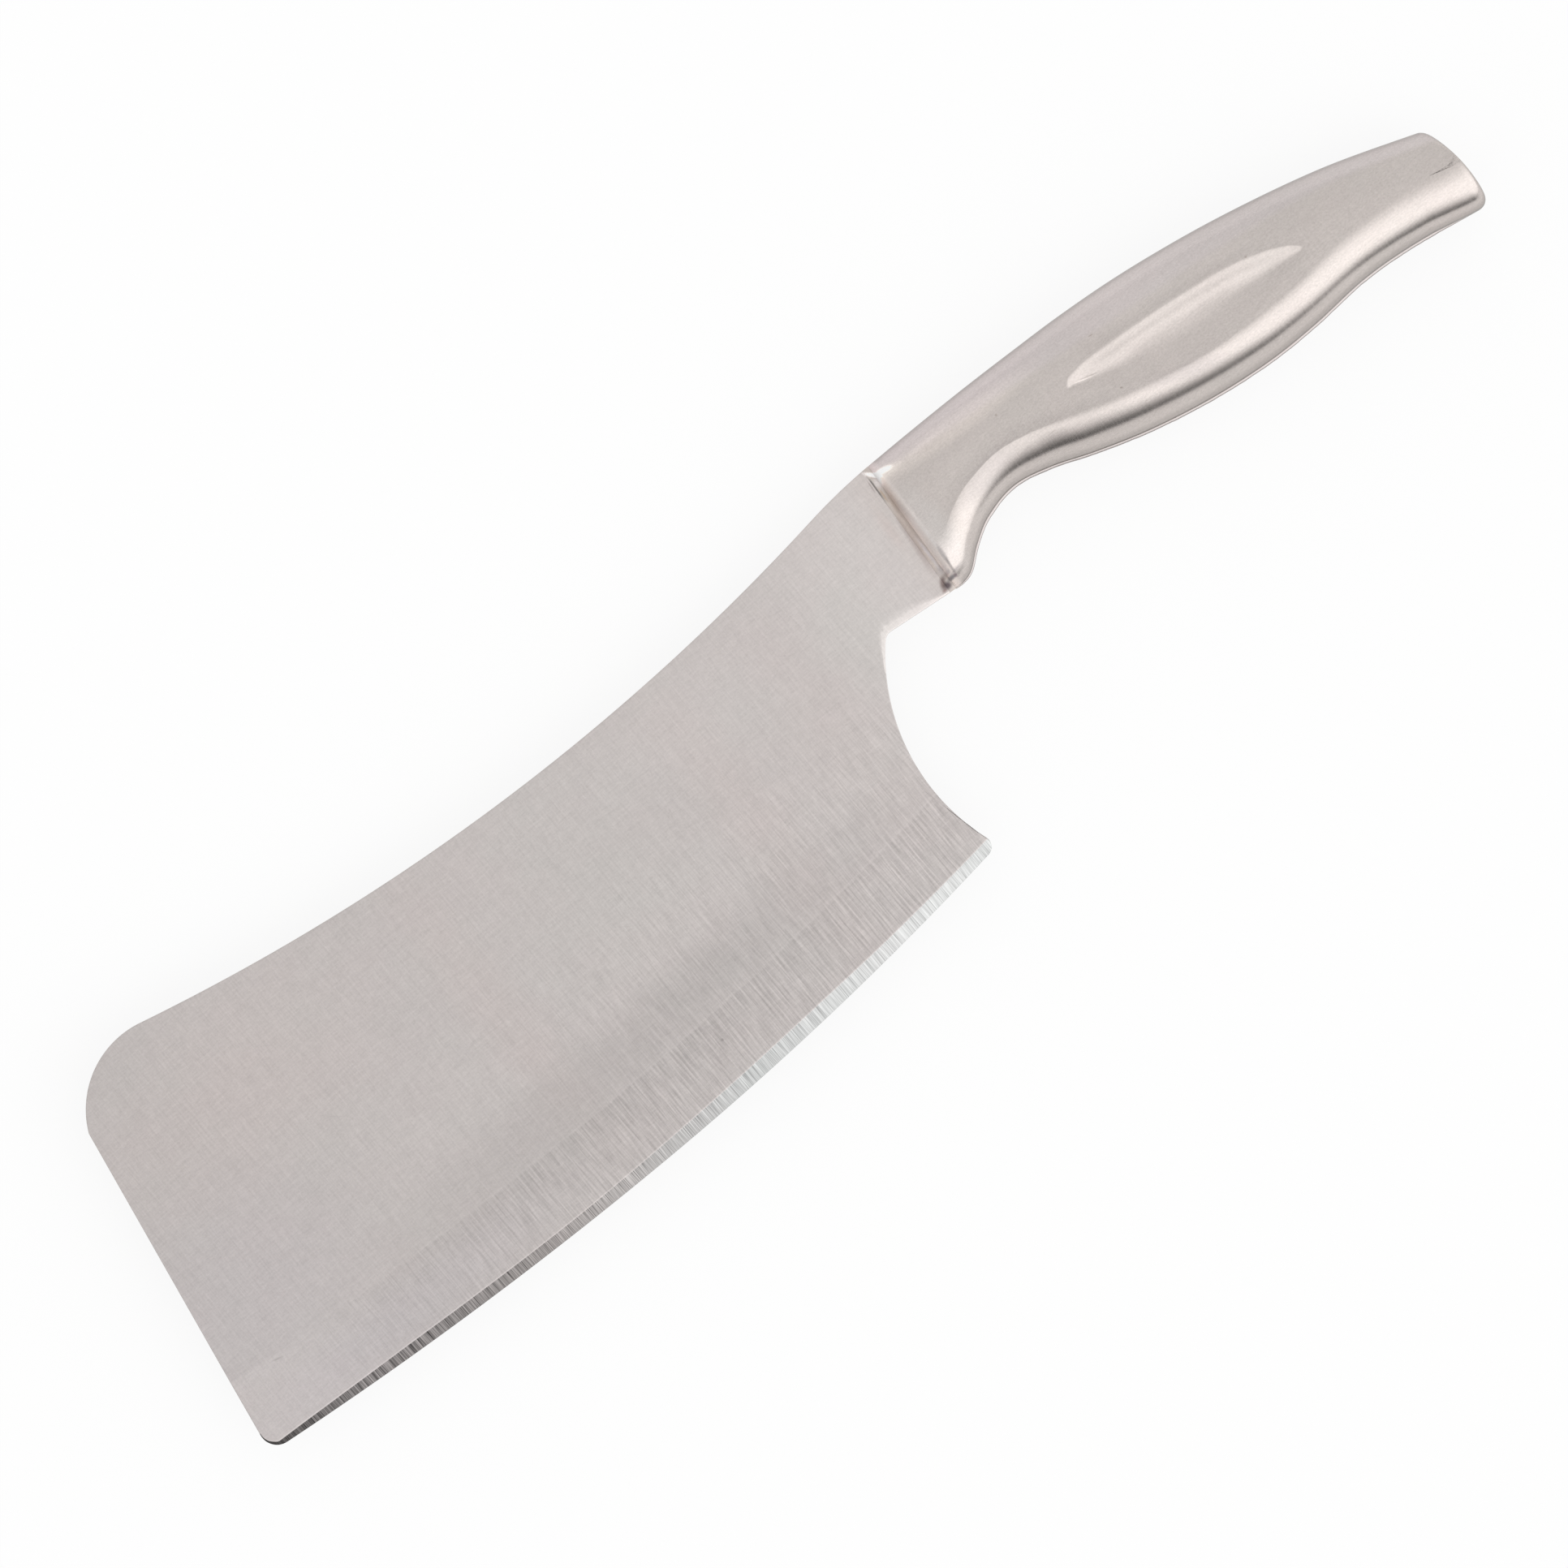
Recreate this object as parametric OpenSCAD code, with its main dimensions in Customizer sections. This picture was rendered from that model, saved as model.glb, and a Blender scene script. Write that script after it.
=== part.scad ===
// Chopping knife with a flat plate blade and a hollow handle of two pressed halves.
// The knife lies on its side: X runs from the front of the blade to the end of the handle, Y from the
// cutting edge to the spine, and Z out of the left side. The origin is under the middle of the knife.

/* [Blade] */
// Length from the front of the blade to the deepest point of the finger curve
blade_l = 163.7; // [130:0.1:200]
// Height from the lowest point of the edge to the top of the front corner
blade_h = 78.4; // [66:0.1:100]
// Thickness of the plate
blade_t = 2; // [1.5:0.1:3.5]
// Radius of the cutting edge ahead of its lowest point
edge_front_r = 768; // [400:1:1500]
// Radius of the cutting edge behind its lowest point
edge_rear_r = 600; // [400:1:1500]
// Lean of the front of the blade, in degrees from upright
front_lean = 10.3; // [0:0.1:16]
// Radius of the lower front corner
tip_r = 3.3; // [1:0.1:6]
// Radius of the upper front corner
corner_r = 17; // [8:0.1:25]
// How far the straight front cuts into the round of the upper corner
corner_flat = 0.6; // [0:0.1:1.5]
// How far the hollow spine dips below the upper corner
spine_dip = 12; // [5:0.1:18]
// Radius of the finger curve
choil_r = 38; // [30:0.1:48]
// Height of the middle of the finger curve
choil_y = 19.1; // [14:0.1:26]
// Radius of the heel
heel_r = 2; // [0.5:0.1:4]

/* [Grind] */
// Height of the ground band above the edge
grind_h = 14.2; // [8:0.1:20]
// Greatest width of the edge bevel
bevel_w = 2.7; // [1:0.1:3]
// Angle of the edge bevel on each side, in degrees
bevel_angle = 15; // [10:0.5:17]
// Thickness left at the very edge
edge_t = 0.16; // [0.1:0.01:0.3]
// Width of the eased lower edge of the neck
ease_w = 2.2; // [0.5:0.1:3.5]
// Depth of the eased lower edge of the neck
ease_depth = 0.25; // [0.1:0.05:0.7]

/* [Neck] */
// Length of the neck from the finger curve to the handle's weld
neck_l = 24.6; // [18:0.1:34]
// Slope of the neck's lower edge, in degrees
neck_slope = 6.6; // [2:0.1:10]
// Radius between the finger curve and the neck
neck_fillet_r = 2; // [0.5:0.1:5]
// Lean of the weld line across the neck, in degrees
weld_lean = 4; // [0:0.1:8]
// Radius of the nape, where the spine rises into the handle
nape_r = 110; // [60:1:200]
// How far behind the weld line the handle is highest
nape_step = 3.7; // [1:0.1:8]
// How far the tang is set in from each side of the plate
tang_step = 0.2; // [0.1:0.05:0.4]
// Length of the tang behind the weld line
tang_l = 18; // [8:0.1:30]
// How far the tang is set in from the neck's upper and lower edges
tang_inset = 2.5; // [1.5:0.1:5]

/* [Handle] */
// Length from the weld line to the end
handle_l = 117.1; // [95:0.1:140]
// Greatest height from the spine to the crest of the belly weld
handle_h = 27.85; // [22:0.05:34]
// Greatest thickness over both shells
handle_t = 17.5; // [14:0.1:22]
// How far the spine of the handle falls towards the end
handle_drop = 17.75; // [8:0.05:26]
// Thickness of the sheet
wall = 1; // [0.6:0.05:1.5]
// Width of the rounded shoulder above the belly seam
shoulder_w = 8.2; // [5:0.1:11]
// Width of the round of the spine
back_w = 8.6; // [5:0.1:11]
// Length over which the front of the shells rises from the weld
front_run = 1.8; // [1:0.1:5]
// Radius of the edge round the end face
butt_r = 0.6; // [0.6:0.1:2.5]
// Radius of the lower corner of the end
butt_corner_r = 2.4; // [1:0.1:4]
// Radius of the upper corner of the end
butt_top_r = 1.5; // [1:0.1:3]
// How far the upper end corner stands ahead of the end's furthest point
butt_bow = 0.88; // [0:0.02:2]

/* [Dimple] */
// Length of the pressed dimple
dimple_l = 47.6; // [30:0.1:60]
// Distance from the weld line to the dimple
dimple_start = 38.1; // [30:0.1:48]
// Greatest width below its sharp upper edge
dimple_w = 9.6; // [4:0.1:11]
// Greatest depth
dimple_depth = 1.2; // [0.4:0.05:1.6]

/* [Welds] */
// Width of the seam weld between the shells
seam_w = 0.8; // [0.4:0.05:1.2]
// How far the belly weld stands proud
bead_h = 0.5; // [0.2:0.05:0.9]
// Length over which the belly weld rises and fades at its ends
bead_run = 7; // [3:0.5:15]
// Length of the neck weld along the handle
neck_weld_l = 1.3; // [0.8:0.1:3]
// How far the neck weld climbs above the side of the blade
neck_weld_h = 1.6; // [0.8:0.1:2.5]
// Clearance round the tang where it passes through the shells
tang_clearance = 0.1; // [0.05:0.01:0.2]

/* [Hidden] */

// Where the edge and the hollow spine are lowest, as shares of the blade's length
edge_low_share = 0.5376;
spine_low_share = 0.7635;
// Width of the edge bevel along the blade, as shares of bevel_w
bevel_shares = [
    [0, 0.29], [0.05, 0.46], [0.12, 0.62], [0.2, 0.73], [0.42, 0.77], [0.6, 0.95], [0.75, 1], [0.85, 0.9],
    [1, 0.76]
];
// Width of the neck's eased edge from its start to the weld line
ease_shares = [[0, 0.3], [0.15, 1], [0.65, 0.9], [1, 0.08]];
// Where the easing starts, as a share of the neck's length
ease_start_share = 0.49;

// Height of the handle along its length, as shares of handle_h
height_shares = [
    [0, 0.943], [0.025, 0.958], [0.047, 0.935], [0.078, 0.838], [0.117, 0.749], [0.176, 0.699],
    [0.236, 0.747], [0.304, 0.846], [0.389, 0.944], [0.491, 1], [0.593, 0.989], [0.678, 0.925],
    [0.78, 0.802], [0.866, 0.727], [1, 0.622]
];
// Fall of the handle's spine along its length, as shares of handle_drop
drop_shares = [
    [0, 0.003], [0.025, 0], [0.047, 0], [0.078, 0], [0.117, 0.002], [0.176, 0.008],
    [0.236, 0.019], [0.304, 0.038], [0.389, 0.067], [0.491, 0.131], [0.593, 0.233], [0.678, 0.343],
    [0.78, 0.504], [0.866, 0.669], [1, 0.987]
];
// Thickness of the handle along its length, as shares of handle_t
thickness_shares = [[0, 0.72], [0.15, 0.8], [0.35, 0.94], [0.58, 1], [0.8, 0.98], [1, 0.94]];
// How far the sides fall from the middle to the edges, as a share of the thickness
crown_share = 0.04;
// Height of the dimple's upper edge in the section, along the dimple
crease_shares = [[0, 0.553], [0.09, 0.628], [0.23, 0.667], [0.5, 0.686], [0.7, 0.67], [0.87, 0.629], [1, 0.53]];
// Where across the dimple it is deepest, measured from its upper edge
dimple_deep_share = 0.6;
// Power of the curve by which the dimple fades at its ends: lower is blunter
dimple_end_power = 0.6;
// Where the end reaches furthest back, measured up its height
butt_peak_share = 0.3;
// Rise of the seam bead's crest line at half its width
bead_round_share = 0.75;
// Share of the handle before the end weld takes over
seam_end_share = 0.965;
// Places along the tang where its edges have corners
tang_shares = [0.35, 0.6, 0.8, 1];

knife_l = blade_l + neck_l + handle_l;
half_t = blade_t / 2;
rim = seam_w / 2;
tang_t = blade_t - 2 * tang_step;
edge_low_x = edge_low_share * blade_l;
junction_x = blade_l + neck_l;
overrun = blade_t;
arc_steps = 20;

// Points on the blade's outline that arcs meet at, worked out from the sizes above
tip_centre = [tip_r, edge_front_r - sqrt(pow(edge_front_r - tip_r, 2) - pow(edge_low_x - tip_r, 2))];
front_foot = tip_centre + tip_r * [-cos(front_lean), sin(front_lean)];
front_way = [sin(front_lean), cos(front_lean)];
corner_y = blade_h - corner_r;
corner_centre = [
    front_foot[0] + (corner_y - front_foot[1]) * tan(front_lean) + (corner_r - corner_flat) / cos(front_lean),
    corner_y
];
spine_low = [spine_low_share * blade_l, blade_h - spine_dip];
spine_r = (pow(spine_low[0] - corner_centre[0], 2) + pow(spine_low[1] - corner_y, 2) - pow(corner_r, 2))
    / (2 * spine_dip);
spine_centre = spine_low + [0, spine_r];
corner_turn = asin((spine_low[0] - corner_centre[0]) / (spine_r + corner_r));
nape_x = junction_x + nape_step;
nape_turn = asin((nape_x - spine_low[0]) / (spine_r + nape_r));
handle_top = spine_centre[1] - (spine_r + nape_r) * cos(nape_turn) + nape_r;
choil_centre = [blade_l + choil_r, choil_y];

// Height of the cutting edge at a place along the blade
function edge_y(x) =
    let (r = x < edge_low_x ? edge_front_r : edge_rear_r)
    r - sqrt(r * r - pow(x - edge_low_x, 2));

// Points on an arc about c from angle a to angle b
function arc(c, r, a, b) =
    [for (i = [0:arc_steps]) let (t = a + (b - a) * i / arc_steps) c + r * [cos(t), sin(t)]];

// Angle of the direction from p to q
function bearing(p, q) = atan2(q[1] - p[1], q[0] - p[0]);

// Where circles about p and q cross, on the right of the way from p to q
function crossing(p, r, q, s) =
    let (
        d = norm(q - p),
        along = (d * d + r * r - s * s) / (2 * d),
        off = sqrt(max(r * r - along * along, 0)),
        way = (q - p) / d
    )
    p + along * way + off * [way[1], -way[0]];

// Where a line through p along a unit way last leaves the circle about c
function leaving(p, way, c, r) =
    let (v = p - c, b = v * way, depth = b * b - v * v + r * r)
    p + (sqrt(max(depth, 0)) - b) * way;

// Slope of a table of places and values at one of its rows
function row_slope(table, i) =
    let (a = table[max(i - 1, 0)], b = table[min(i + 1, len(table) - 1)])
    (b[1] - a[1]) / (b[0] - a[0]);

function row_before(table, x, i = 0) =
    i >= len(table) - 2 || x < table[i + 1][0] ? i : row_before(table, x, i + 1);

// Smooth curve through the rows of a table
function curve(table, x) =
    let (
        i = row_before(table, x),
        a = table[i],
        b = table[i + 1],
        w = b[0] - a[0],
        t = (x - a[0]) / w,
        rise_a = row_slope(table, i) * w,
        rise_b = row_slope(table, i + 1) * w
    )
    (1 + 2 * t) * pow(1 - t, 2) * a[1] + t * pow(1 - t, 2) * rise_a
    + t * t * (3 - 2 * t) * b[1] + t * t * (t - 1) * rise_b;

// How far the belly weld stands out of the shells, s behind the lower end of the weld line
function bead_rise(s) =
    bead_h * max(0, min(1, s / bead_run, (seam_end_share * handle_l - s) / bead_run));

// Upper and lower outline of the handle's shells at the same place
function spine_y(s) = handle_top - handle_drop * curve(drop_shares, s / handle_l);
function belly_y(s) = spine_y(s) - handle_h * curve(height_shares, s / handle_l) + bead_rise(s);

lean_run = (spine_y(0) - belly_y(0)) * tan(weld_lean);
tang_foot = belly_y(0) + tang_inset;
tang_top = spine_y(0) - tang_inset;
neck_foot = [junction_x, belly_y(0)];
neck_top = [
    junction_x + lean_run,
    handle_top - nape_r + sqrt(pow(nape_r, 2) - pow(nape_x - junction_x - lean_run, 2))
];
neck_way = [-cos(neck_slope), sin(neck_slope)];

heel_centre = crossing([edge_low_x, edge_rear_r], edge_rear_r - heel_r, choil_centre, choil_r + heel_r);
neck_line_foot = neck_foot - neck_fillet_r * [sin(neck_slope), cos(neck_slope)];
fillet_centre = leaving(neck_line_foot, neck_way, choil_centre, choil_r - neck_fillet_r);
front_top = leaving(front_foot, front_way, corner_centre, corner_r);

blade_outline = concat(
    arc(tip_centre, tip_r, 180 - front_lean, 360 + bearing([edge_low_x, edge_front_r], tip_centre)),
    arc([edge_low_x, edge_front_r], edge_front_r, 360 + bearing([edge_low_x, edge_front_r], tip_centre), 270),
    arc([edge_low_x, edge_rear_r], edge_rear_r, 270, 360 + bearing([edge_low_x, edge_rear_r], heel_centre)),
    arc(heel_centre, heel_r, bearing([edge_low_x, edge_rear_r], heel_centre), bearing(heel_centre, choil_centre)),
    arc(choil_centre, choil_r, 180 + bearing(heel_centre, choil_centre), bearing(choil_centre, fillet_centre)),
    arc(fillet_centre, neck_fillet_r, bearing(choil_centre, fillet_centre), 90 - neck_slope),
    [neck_foot, neck_top],
    arc(
        [nape_x, handle_top - nape_r],
        nape_r,
        90 + asin((nape_x - neck_top[0]) / nape_r),
        90 + nape_turn
    ),
    arc(spine_centre, spine_r, 270 + nape_turn, 270 - corner_turn),
    arc(corner_centre, corner_r, 90 - corner_turn, bearing(corner_centre, front_top))
);

// The same outline with no point twice
function apart(points) =
    [
        for (i = [0:len(points) - 1])
            if (norm(points[i] - points[(i + 1) % len(points)]) > edge_t / 100) points[i]
    ];

// Solid through a list of rings with as many points each, whose first point sees the whole ring
module loft(rings) {
    n = len(rings[0]);
    last = len(rings) - 1;
    polyhedron(
        points = [for (r = rings) each r],
        faces = concat(
            [for (j = [1:n - 2]) [0, j, j + 1]],
            [
                for (i = [0:last - 1], j = [0:n - 1])
                    let (a = i * n + j, b = i * n + (j + 1) % n)
                    each [[a, a + n, b], [b, a + n, b + n]]
            ],
            [for (j = [1:n - 2]) [last * n, last * n + j + 1, last * n + j]]
        )
    );
}

// Puts the knife's own outline coordinates in the part's frame
module laid_down() {
    translate([-knife_l / 2, -blade_h / 2, handle_t / 2]) children();
}

// What the grinding wheel takes off the left side, one section for each place along the edge
function grind_section(x) =
    let (
        y = edge_y(x),
        w = bevel_w * curve(bevel_shares, min(max(x / blade_l, 0), 1)),
        shoulder = edge_t / 2 + w * tan(bevel_angle)
    )
    [
        [x, y - overrun, half_t + overrun],
        [x, y - overrun, edge_t / 2 - overrun * tan(bevel_angle)],
        [x, y, edge_t / 2],
        [x, y + w, shoulder],
        [x, y + grind_h, half_t],
        [x, y + grind_h, half_t + overrun]
    ];

module grind_cut() {
    steps = 2 * arc_steps;
    from = -overrun;
    to = blade_l + choil_r / 4;
    loft([for (i = [0:steps]) grind_section(from + (to - from) * i / steps)]);
}

// What the easing takes off the neck's lower edge on the left side
function ease_section(row) =
    let (
        run = (1 - ease_start_share - row[0] * (1 - ease_start_share)) * neck_l,
        foot = neck_foot + run * neck_way,
        w = ease_w * row[1],
        depth = ease_depth * row[1]
    )
    [
        [foot[0], foot[1] - overrun, half_t + overrun],
        [foot[0], foot[1] - overrun, half_t - depth * (1 + overrun / w)],
        [foot[0], foot[1] + w, half_t],
        [foot[0], foot[1] + w, half_t + overrun]
    ];

module ease_cut() {
    loft([for (row = ease_shares) ease_section(row)]);
}

// The tang's plate, grown by a clearance where it is used as a cut
module tang_plate(grow) {
    start = junction_x - neck_l / 4;
    foot = tang_foot - grow;
    top = tang_top + grow;
    linear_extrude(tang_t + 2 * grow, center = true)
        polygon(concat(
            [[start, foot], [junction_x + 2 * neck_weld_l, foot]],
            [
                for (share = tang_shares)
                    [junction_x + share * tang_l, belly_y(share * tang_l) + tang_inset * (1 + share) - grow]
            ],
            [[junction_x + tang_l, spine_y(tang_l) - 2 * tang_inset + grow]],
            [[junction_x + 2 * neck_weld_l + lean_run, top], [start, top]]
        ));
}

module blade() {
    color("gainsboro")
        laid_down()
            difference() {
                union() {
                    linear_extrude(blade_t, center = true)
                        polygon(apart(blade_outline));
                    tang_plate(0);
                }
                for (side = [0, 1])
                    mirror([0, 0, side]) {
                        grind_cut();
                        ease_cut();
                    }
            }
}

// Stations along the handle, measured from the weld line: close together where the front rises and
// where the end is rounded
front_shares = [0, 0.06, 0.18, 0.4, 0.7, 1];
middle_steps = 34;
end_turns = [0, 22, 42, 60, 75, 90];
stations = concat(
    [for (share = front_shares) neck_weld_l + front_run * share],
    [
        for (i = [1:middle_steps - 1])
            let (from = neck_weld_l + front_run, to = handle_l - butt_corner_r)
            from + (to - from) * i / middle_steps
    ],
    [for (turn = end_turns) handle_l - butt_corner_r * (1 - sin(turn))]
);

// Points across a section: crowded at both edges and below the dimple's upper edge
crease_step = 12;
section_steps = 20;

function dimple_place(s) = min(max((s - dimple_start) / dimple_l, 0), 1);
function crease_v(s) = curve(crease_shares, dimple_place(s));
function section_v(s, j) =
    let (c = crease_v(s))
    j <= crease_step
        ? c * (1 - cos(180 * j / crease_step)) / 2
        : c + (1 - c) * sin(90 * (j - crease_step) / (section_steps - crease_step));

function station_x(s, v) =
    junction_x + s + lean_run * v * pow(1 - s / handle_l, 2)
    - butt_bow * pow((v - butt_peak_share) / (1 - butt_peak_share), 2) * pow(s / handle_l, 4);

// Fall of a round edge of radius r, e before the place where it ends
function round_off(r, e) = e >= r ? 0 : r - sqrt(max(r * r - pow(r - e, 2), 0));

function foot_y(s) = belly_y(s) + round_off(butt_corner_r, handle_l - s);
function top_y(s) =
    spine_y(s + lean_run * pow(1 - s / handle_l, 2)) - round_off(butt_top_r, handle_l - s);

// Half thickness of the handle before its edges roll off
function side_z(s) =
    let (
        full = handle_t / 2 * curve(thickness_shares, s / handle_l),
        start = half_t + neck_weld_h,
        t = min((s - neck_weld_l) / front_run, 1)
    )
    start + (full - start) * sqrt(max(1 - pow(1 - t, 2), 0)) - round_off(butt_r, handle_l - s);

// Rise of a round side of width w, as a share of its height, d in from the seam
function round_rise(d, w) = sqrt(max(1 - pow(1 - min(d / w, 1), 2), 0));

// Depth of the dimple at a station and a distance below its upper edge
function dimple(s, below) =
    let (
        fullness = pow(sin(180 * dimple_place(s)), dimple_end_power),
        w = dimple_w * fullness,
        t = w > 0 ? below / w : 1
    )
    t <= 0 || t >= 1
        ? 0
        : dimple_depth * fullness
            * (t < dimple_deep_share
                ? sin(90 * t / dimple_deep_share)
                : pow(cos(90 * (t - dimple_deep_share) / (1 - dimple_deep_share)), 2));

// Points of the section at station s: the outer skin, or with inset the inner one
function section(s, inset) =
    let (
        span = handle_l - neck_weld_l,
        place = inset == 0 ? s : neck_weld_l + inset + (s - neck_weld_l) * (span - 2 * inset) / span,
        foot = foot_y(s) + inset,
        h = top_y(s) - inset - foot,
        z = side_z(s) - inset - rim
    )
    [
        for (j = [0:section_steps])
            let (v = section_v(s, j))
            [
                station_x(place, v),
                foot + v * h,
                rim + z * (1 - crown_share * pow(2 * v - 1, 2))
                    * round_rise(v * h, shoulder_w) * round_rise((1 - v) * h, back_w)
                    - dimple(s, (crease_v(s) - v) * h)
            ]
    ];

outer_rings = [for (s = stations) section(s, 0)];
inner_rings = [for (s = stations) section(s, wall)];

// Faces of a skin of m rows with n points each, whose first point is number from
function grid_faces(m, n, from, flip) =
    [
        for (i = [0:m - 2], j = [0:n - 2])
            let (a = from + i * n + j, b = a + 1, c = a + n, d = c + 1)
            each flip ? [[a, c, b], [b, c, d]] : [[a, b, c], [b, d, c]]
    ];

// Faces between the ends of the rows of an outer skin and those of an inner one
function rim_faces(m, n, gap) =
    [
        for (i = [0:m - 2])
            let (a = i * n, b = a + n, c = a + n - 1, d = b + n - 1)
            each [
                [a, b, gap + a],
                [b, gap + b, gap + a],
                [c, gap + c, d],
                [d, gap + c, gap + d]
            ]
    ];

// One pressed half: outer skin, inner skin, both end walls and the flat rim between the skins
module pressed_half() {
    n = section_steps + 1;
    m = len(stations);
    gap = m * n;
    end = (m - 1) * n;
    difference() {
        polyhedron(
            points = [for (r = concat(outer_rings, inner_rings)) each r],
            faces = concat(
                grid_faces(m, n, 0, false),
                grid_faces(m, n, gap, true),
                rim_faces(m, n, gap),
                [for (j = [1:n - 2]) [0, j + 1, j]],
                [for (j = [1:n - 2]) [gap, gap + j, gap + j + 1]],
                [for (j = [1:n - 2]) [end, end + j, end + j + 1]],
                [for (j = [1:n - 2]) [gap + end, gap + end + j + 1, gap + end + j]],
                [[0, gap, n - 1], [n - 1, gap, gap + n - 1]],
                [[end, end + n - 1, gap + end], [end + n - 1, gap + end + n - 1, gap + end]]
            )
        );
        tang_plate(tang_clearance);
    }
}

module left_handle_shell() {
    color("silver")
        laid_down()
            pressed_half();
}

module right_handle_shell() {
    color("silver")
        laid_down()
            mirror([0, 0, 1])
                pressed_half();
}

// Stations that the long seam welds reach, and those of the end weld
seam_last = len([for (s = stations) if (s < seam_end_share * handle_l) s]);
last_station = len(stations) - 1;

function flat(p) = [p[0], p[1]];

module spine_seam_weld() {
    color("darkgray")
        laid_down()
            linear_extrude(seam_w, center = true)
                polygon(concat(
                    [for (i = [0:seam_last]) flat(outer_rings[i][section_steps])],
                    [for (i = [seam_last:-1:0]) flat(inner_rings[i][section_steps])]
                ));
}

// Section of the belly weld: flat against both rims, crowned on the outside
function bead_section(outer, inner, rise) =
    [
        [inner[0], inner[1], -rim],
        [outer[0], outer[1], -rim],
        [outer[0], outer[1] - rise * bead_round_share, -rim / 2],
        [outer[0], outer[1] - rise, 0],
        [outer[0], outer[1] - rise * bead_round_share, rim / 2],
        [outer[0], outer[1], rim],
        [inner[0], inner[1], rim]
    ];

module belly_seam_weld() {
    color("darkgray")
        laid_down()
            loft([
                for (i = [seam_last:-1:0])
                    bead_section(outer_rings[i][0], inner_rings[i][0], bead_rise(stations[i]))
            ]);
}

module butt_seam_weld() {
    color("darkgray")
        laid_down()
            linear_extrude(seam_w, center = true)
                polygon(concat(
                    [for (i = [seam_last:last_station]) flat(outer_rings[i][0])],
                    [for (j = [1:section_steps]) flat(outer_rings[last_station][j])],
                    [for (i = [last_station - 1:-1:seam_last]) flat(outer_rings[i][section_steps])],
                    [for (i = [seam_last:last_station]) flat(inner_rings[i][section_steps])],
                    [for (j = [section_steps - 1:-1:0]) flat(inner_rings[last_station][j])],
                    [for (i = [last_station - 1:-1:seam_last]) flat(inner_rings[i][0])]
                ));
}

// The neck weld climbs from the blade's side at the weld line to the shell's front, round the tang
weld_turns = [0, 25, 45, 65, 80, 90];

function weld_point(s, y, z) =
    let (foot = belly_y(s), top = spine_y(s + lean_run))
    [junction_x + s + lean_run * (y - foot) / (top - foot), y, z];

function weld_row(s, foot, top, heights) =
    concat(
        [weld_point(s, foot, 0)],
        [for (j = [0:section_steps]) weld_point(s, foot + section_v(0, j) * (top - foot), heights[j])],
        [weld_point(s, top, 0)]
    );

function weld_outside(turn) =
    let (s = neck_weld_l * sin(turn), share = 1 - cos(turn))
    weld_row(
        s,
        belly_y(s),
        spine_y(s + lean_run),
        [for (p = outer_rings[0]) half_t + share * (p[2] - half_t)]
    );

function weld_inside(turn) =
    weld_row(neck_weld_l * sin(turn), tang_foot, tang_top, [for (p = outer_rings[0]) tang_t / 2]);

module neck_weld() {
    n = section_steps + 3;
    m = len(weld_turns);
    gap = m * n;
    end = gap - n;
    polyhedron(
        points = concat(
            [for (turn = weld_turns) each weld_outside(turn)],
            [for (turn = weld_turns) each weld_inside(turn)]
        ),
        faces = concat(
            grid_faces(m, n, 0, false),
            grid_faces(m, n, gap, true),
            rim_faces(m, n, gap),
            [for (j = [0:n - 2]) each [[j + 1, j, gap + j], [j + 1, gap + j, gap + j + 1]]],
            [
                for (j = [end:end + n - 2])
                    each [[j, j + 1, gap + j], [j + 1, gap + j + 1, gap + j]]
            ]
        )
    );
}

module left_neck_weld() {
    color("rosybrown")
        laid_down()
            neck_weld();
}

module right_neck_weld() {
    color("rosybrown")
        laid_down()
            mirror([0, 0, 1])
                neck_weld();
}

blade();
left_handle_shell();
right_handle_shell();
spine_seam_weld();
belly_seam_weld();
butt_seam_weld();
left_neck_weld();
right_neck_weld();
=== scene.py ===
"""Looks of the chopping knife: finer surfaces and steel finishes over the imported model.

Sizes are in millimetres in the knife's own outline coordinates, as in the part's source: X from the
front of the blade, Y from the lowest point of the edge, Z out of the left side from the blade's middle
plane. `KnifeFrame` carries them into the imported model's frame, in metres.
"""

import logging
import math
from dataclasses import dataclass, field
from enum import Enum
from functools import cached_property

import bpy
import numpy as np
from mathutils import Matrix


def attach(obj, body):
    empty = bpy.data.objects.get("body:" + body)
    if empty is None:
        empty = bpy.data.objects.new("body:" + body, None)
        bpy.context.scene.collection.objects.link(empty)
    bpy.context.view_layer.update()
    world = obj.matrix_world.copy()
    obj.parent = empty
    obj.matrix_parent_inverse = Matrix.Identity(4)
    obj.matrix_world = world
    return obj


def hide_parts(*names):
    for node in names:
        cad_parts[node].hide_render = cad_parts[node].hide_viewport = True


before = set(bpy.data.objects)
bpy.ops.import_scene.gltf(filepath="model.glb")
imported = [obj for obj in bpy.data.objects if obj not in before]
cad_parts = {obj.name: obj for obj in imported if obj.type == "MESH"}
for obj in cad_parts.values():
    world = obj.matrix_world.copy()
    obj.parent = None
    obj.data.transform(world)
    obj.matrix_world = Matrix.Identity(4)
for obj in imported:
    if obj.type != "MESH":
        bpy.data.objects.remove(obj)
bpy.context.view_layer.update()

log = logging.getLogger("chopping_knife")

MM_PER_M = 1000.0
TINY = 1e-12
MIRROR = np.array([1, 1, -1])
WHITE = (1, 1, 1, 1)
WAVE_RATIOS = np.array([1.0, 1.73, 2.61, 4.07, 6.31])
WAVE_FADE = 0.6

Rows = tuple[tuple[float, float], ...]
Span = tuple[float, ...]
Colour = tuple[float, float, float]
Socket = bpy.types.NodeSocket


class Zone(Enum):
    """The zones of the knife that are finished differently."""

    BLADE = "blade"
    HANDLE = "handle"
    SEAM = "seam"
    NECK_WELD = "neck_weld"


# Curves


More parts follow.
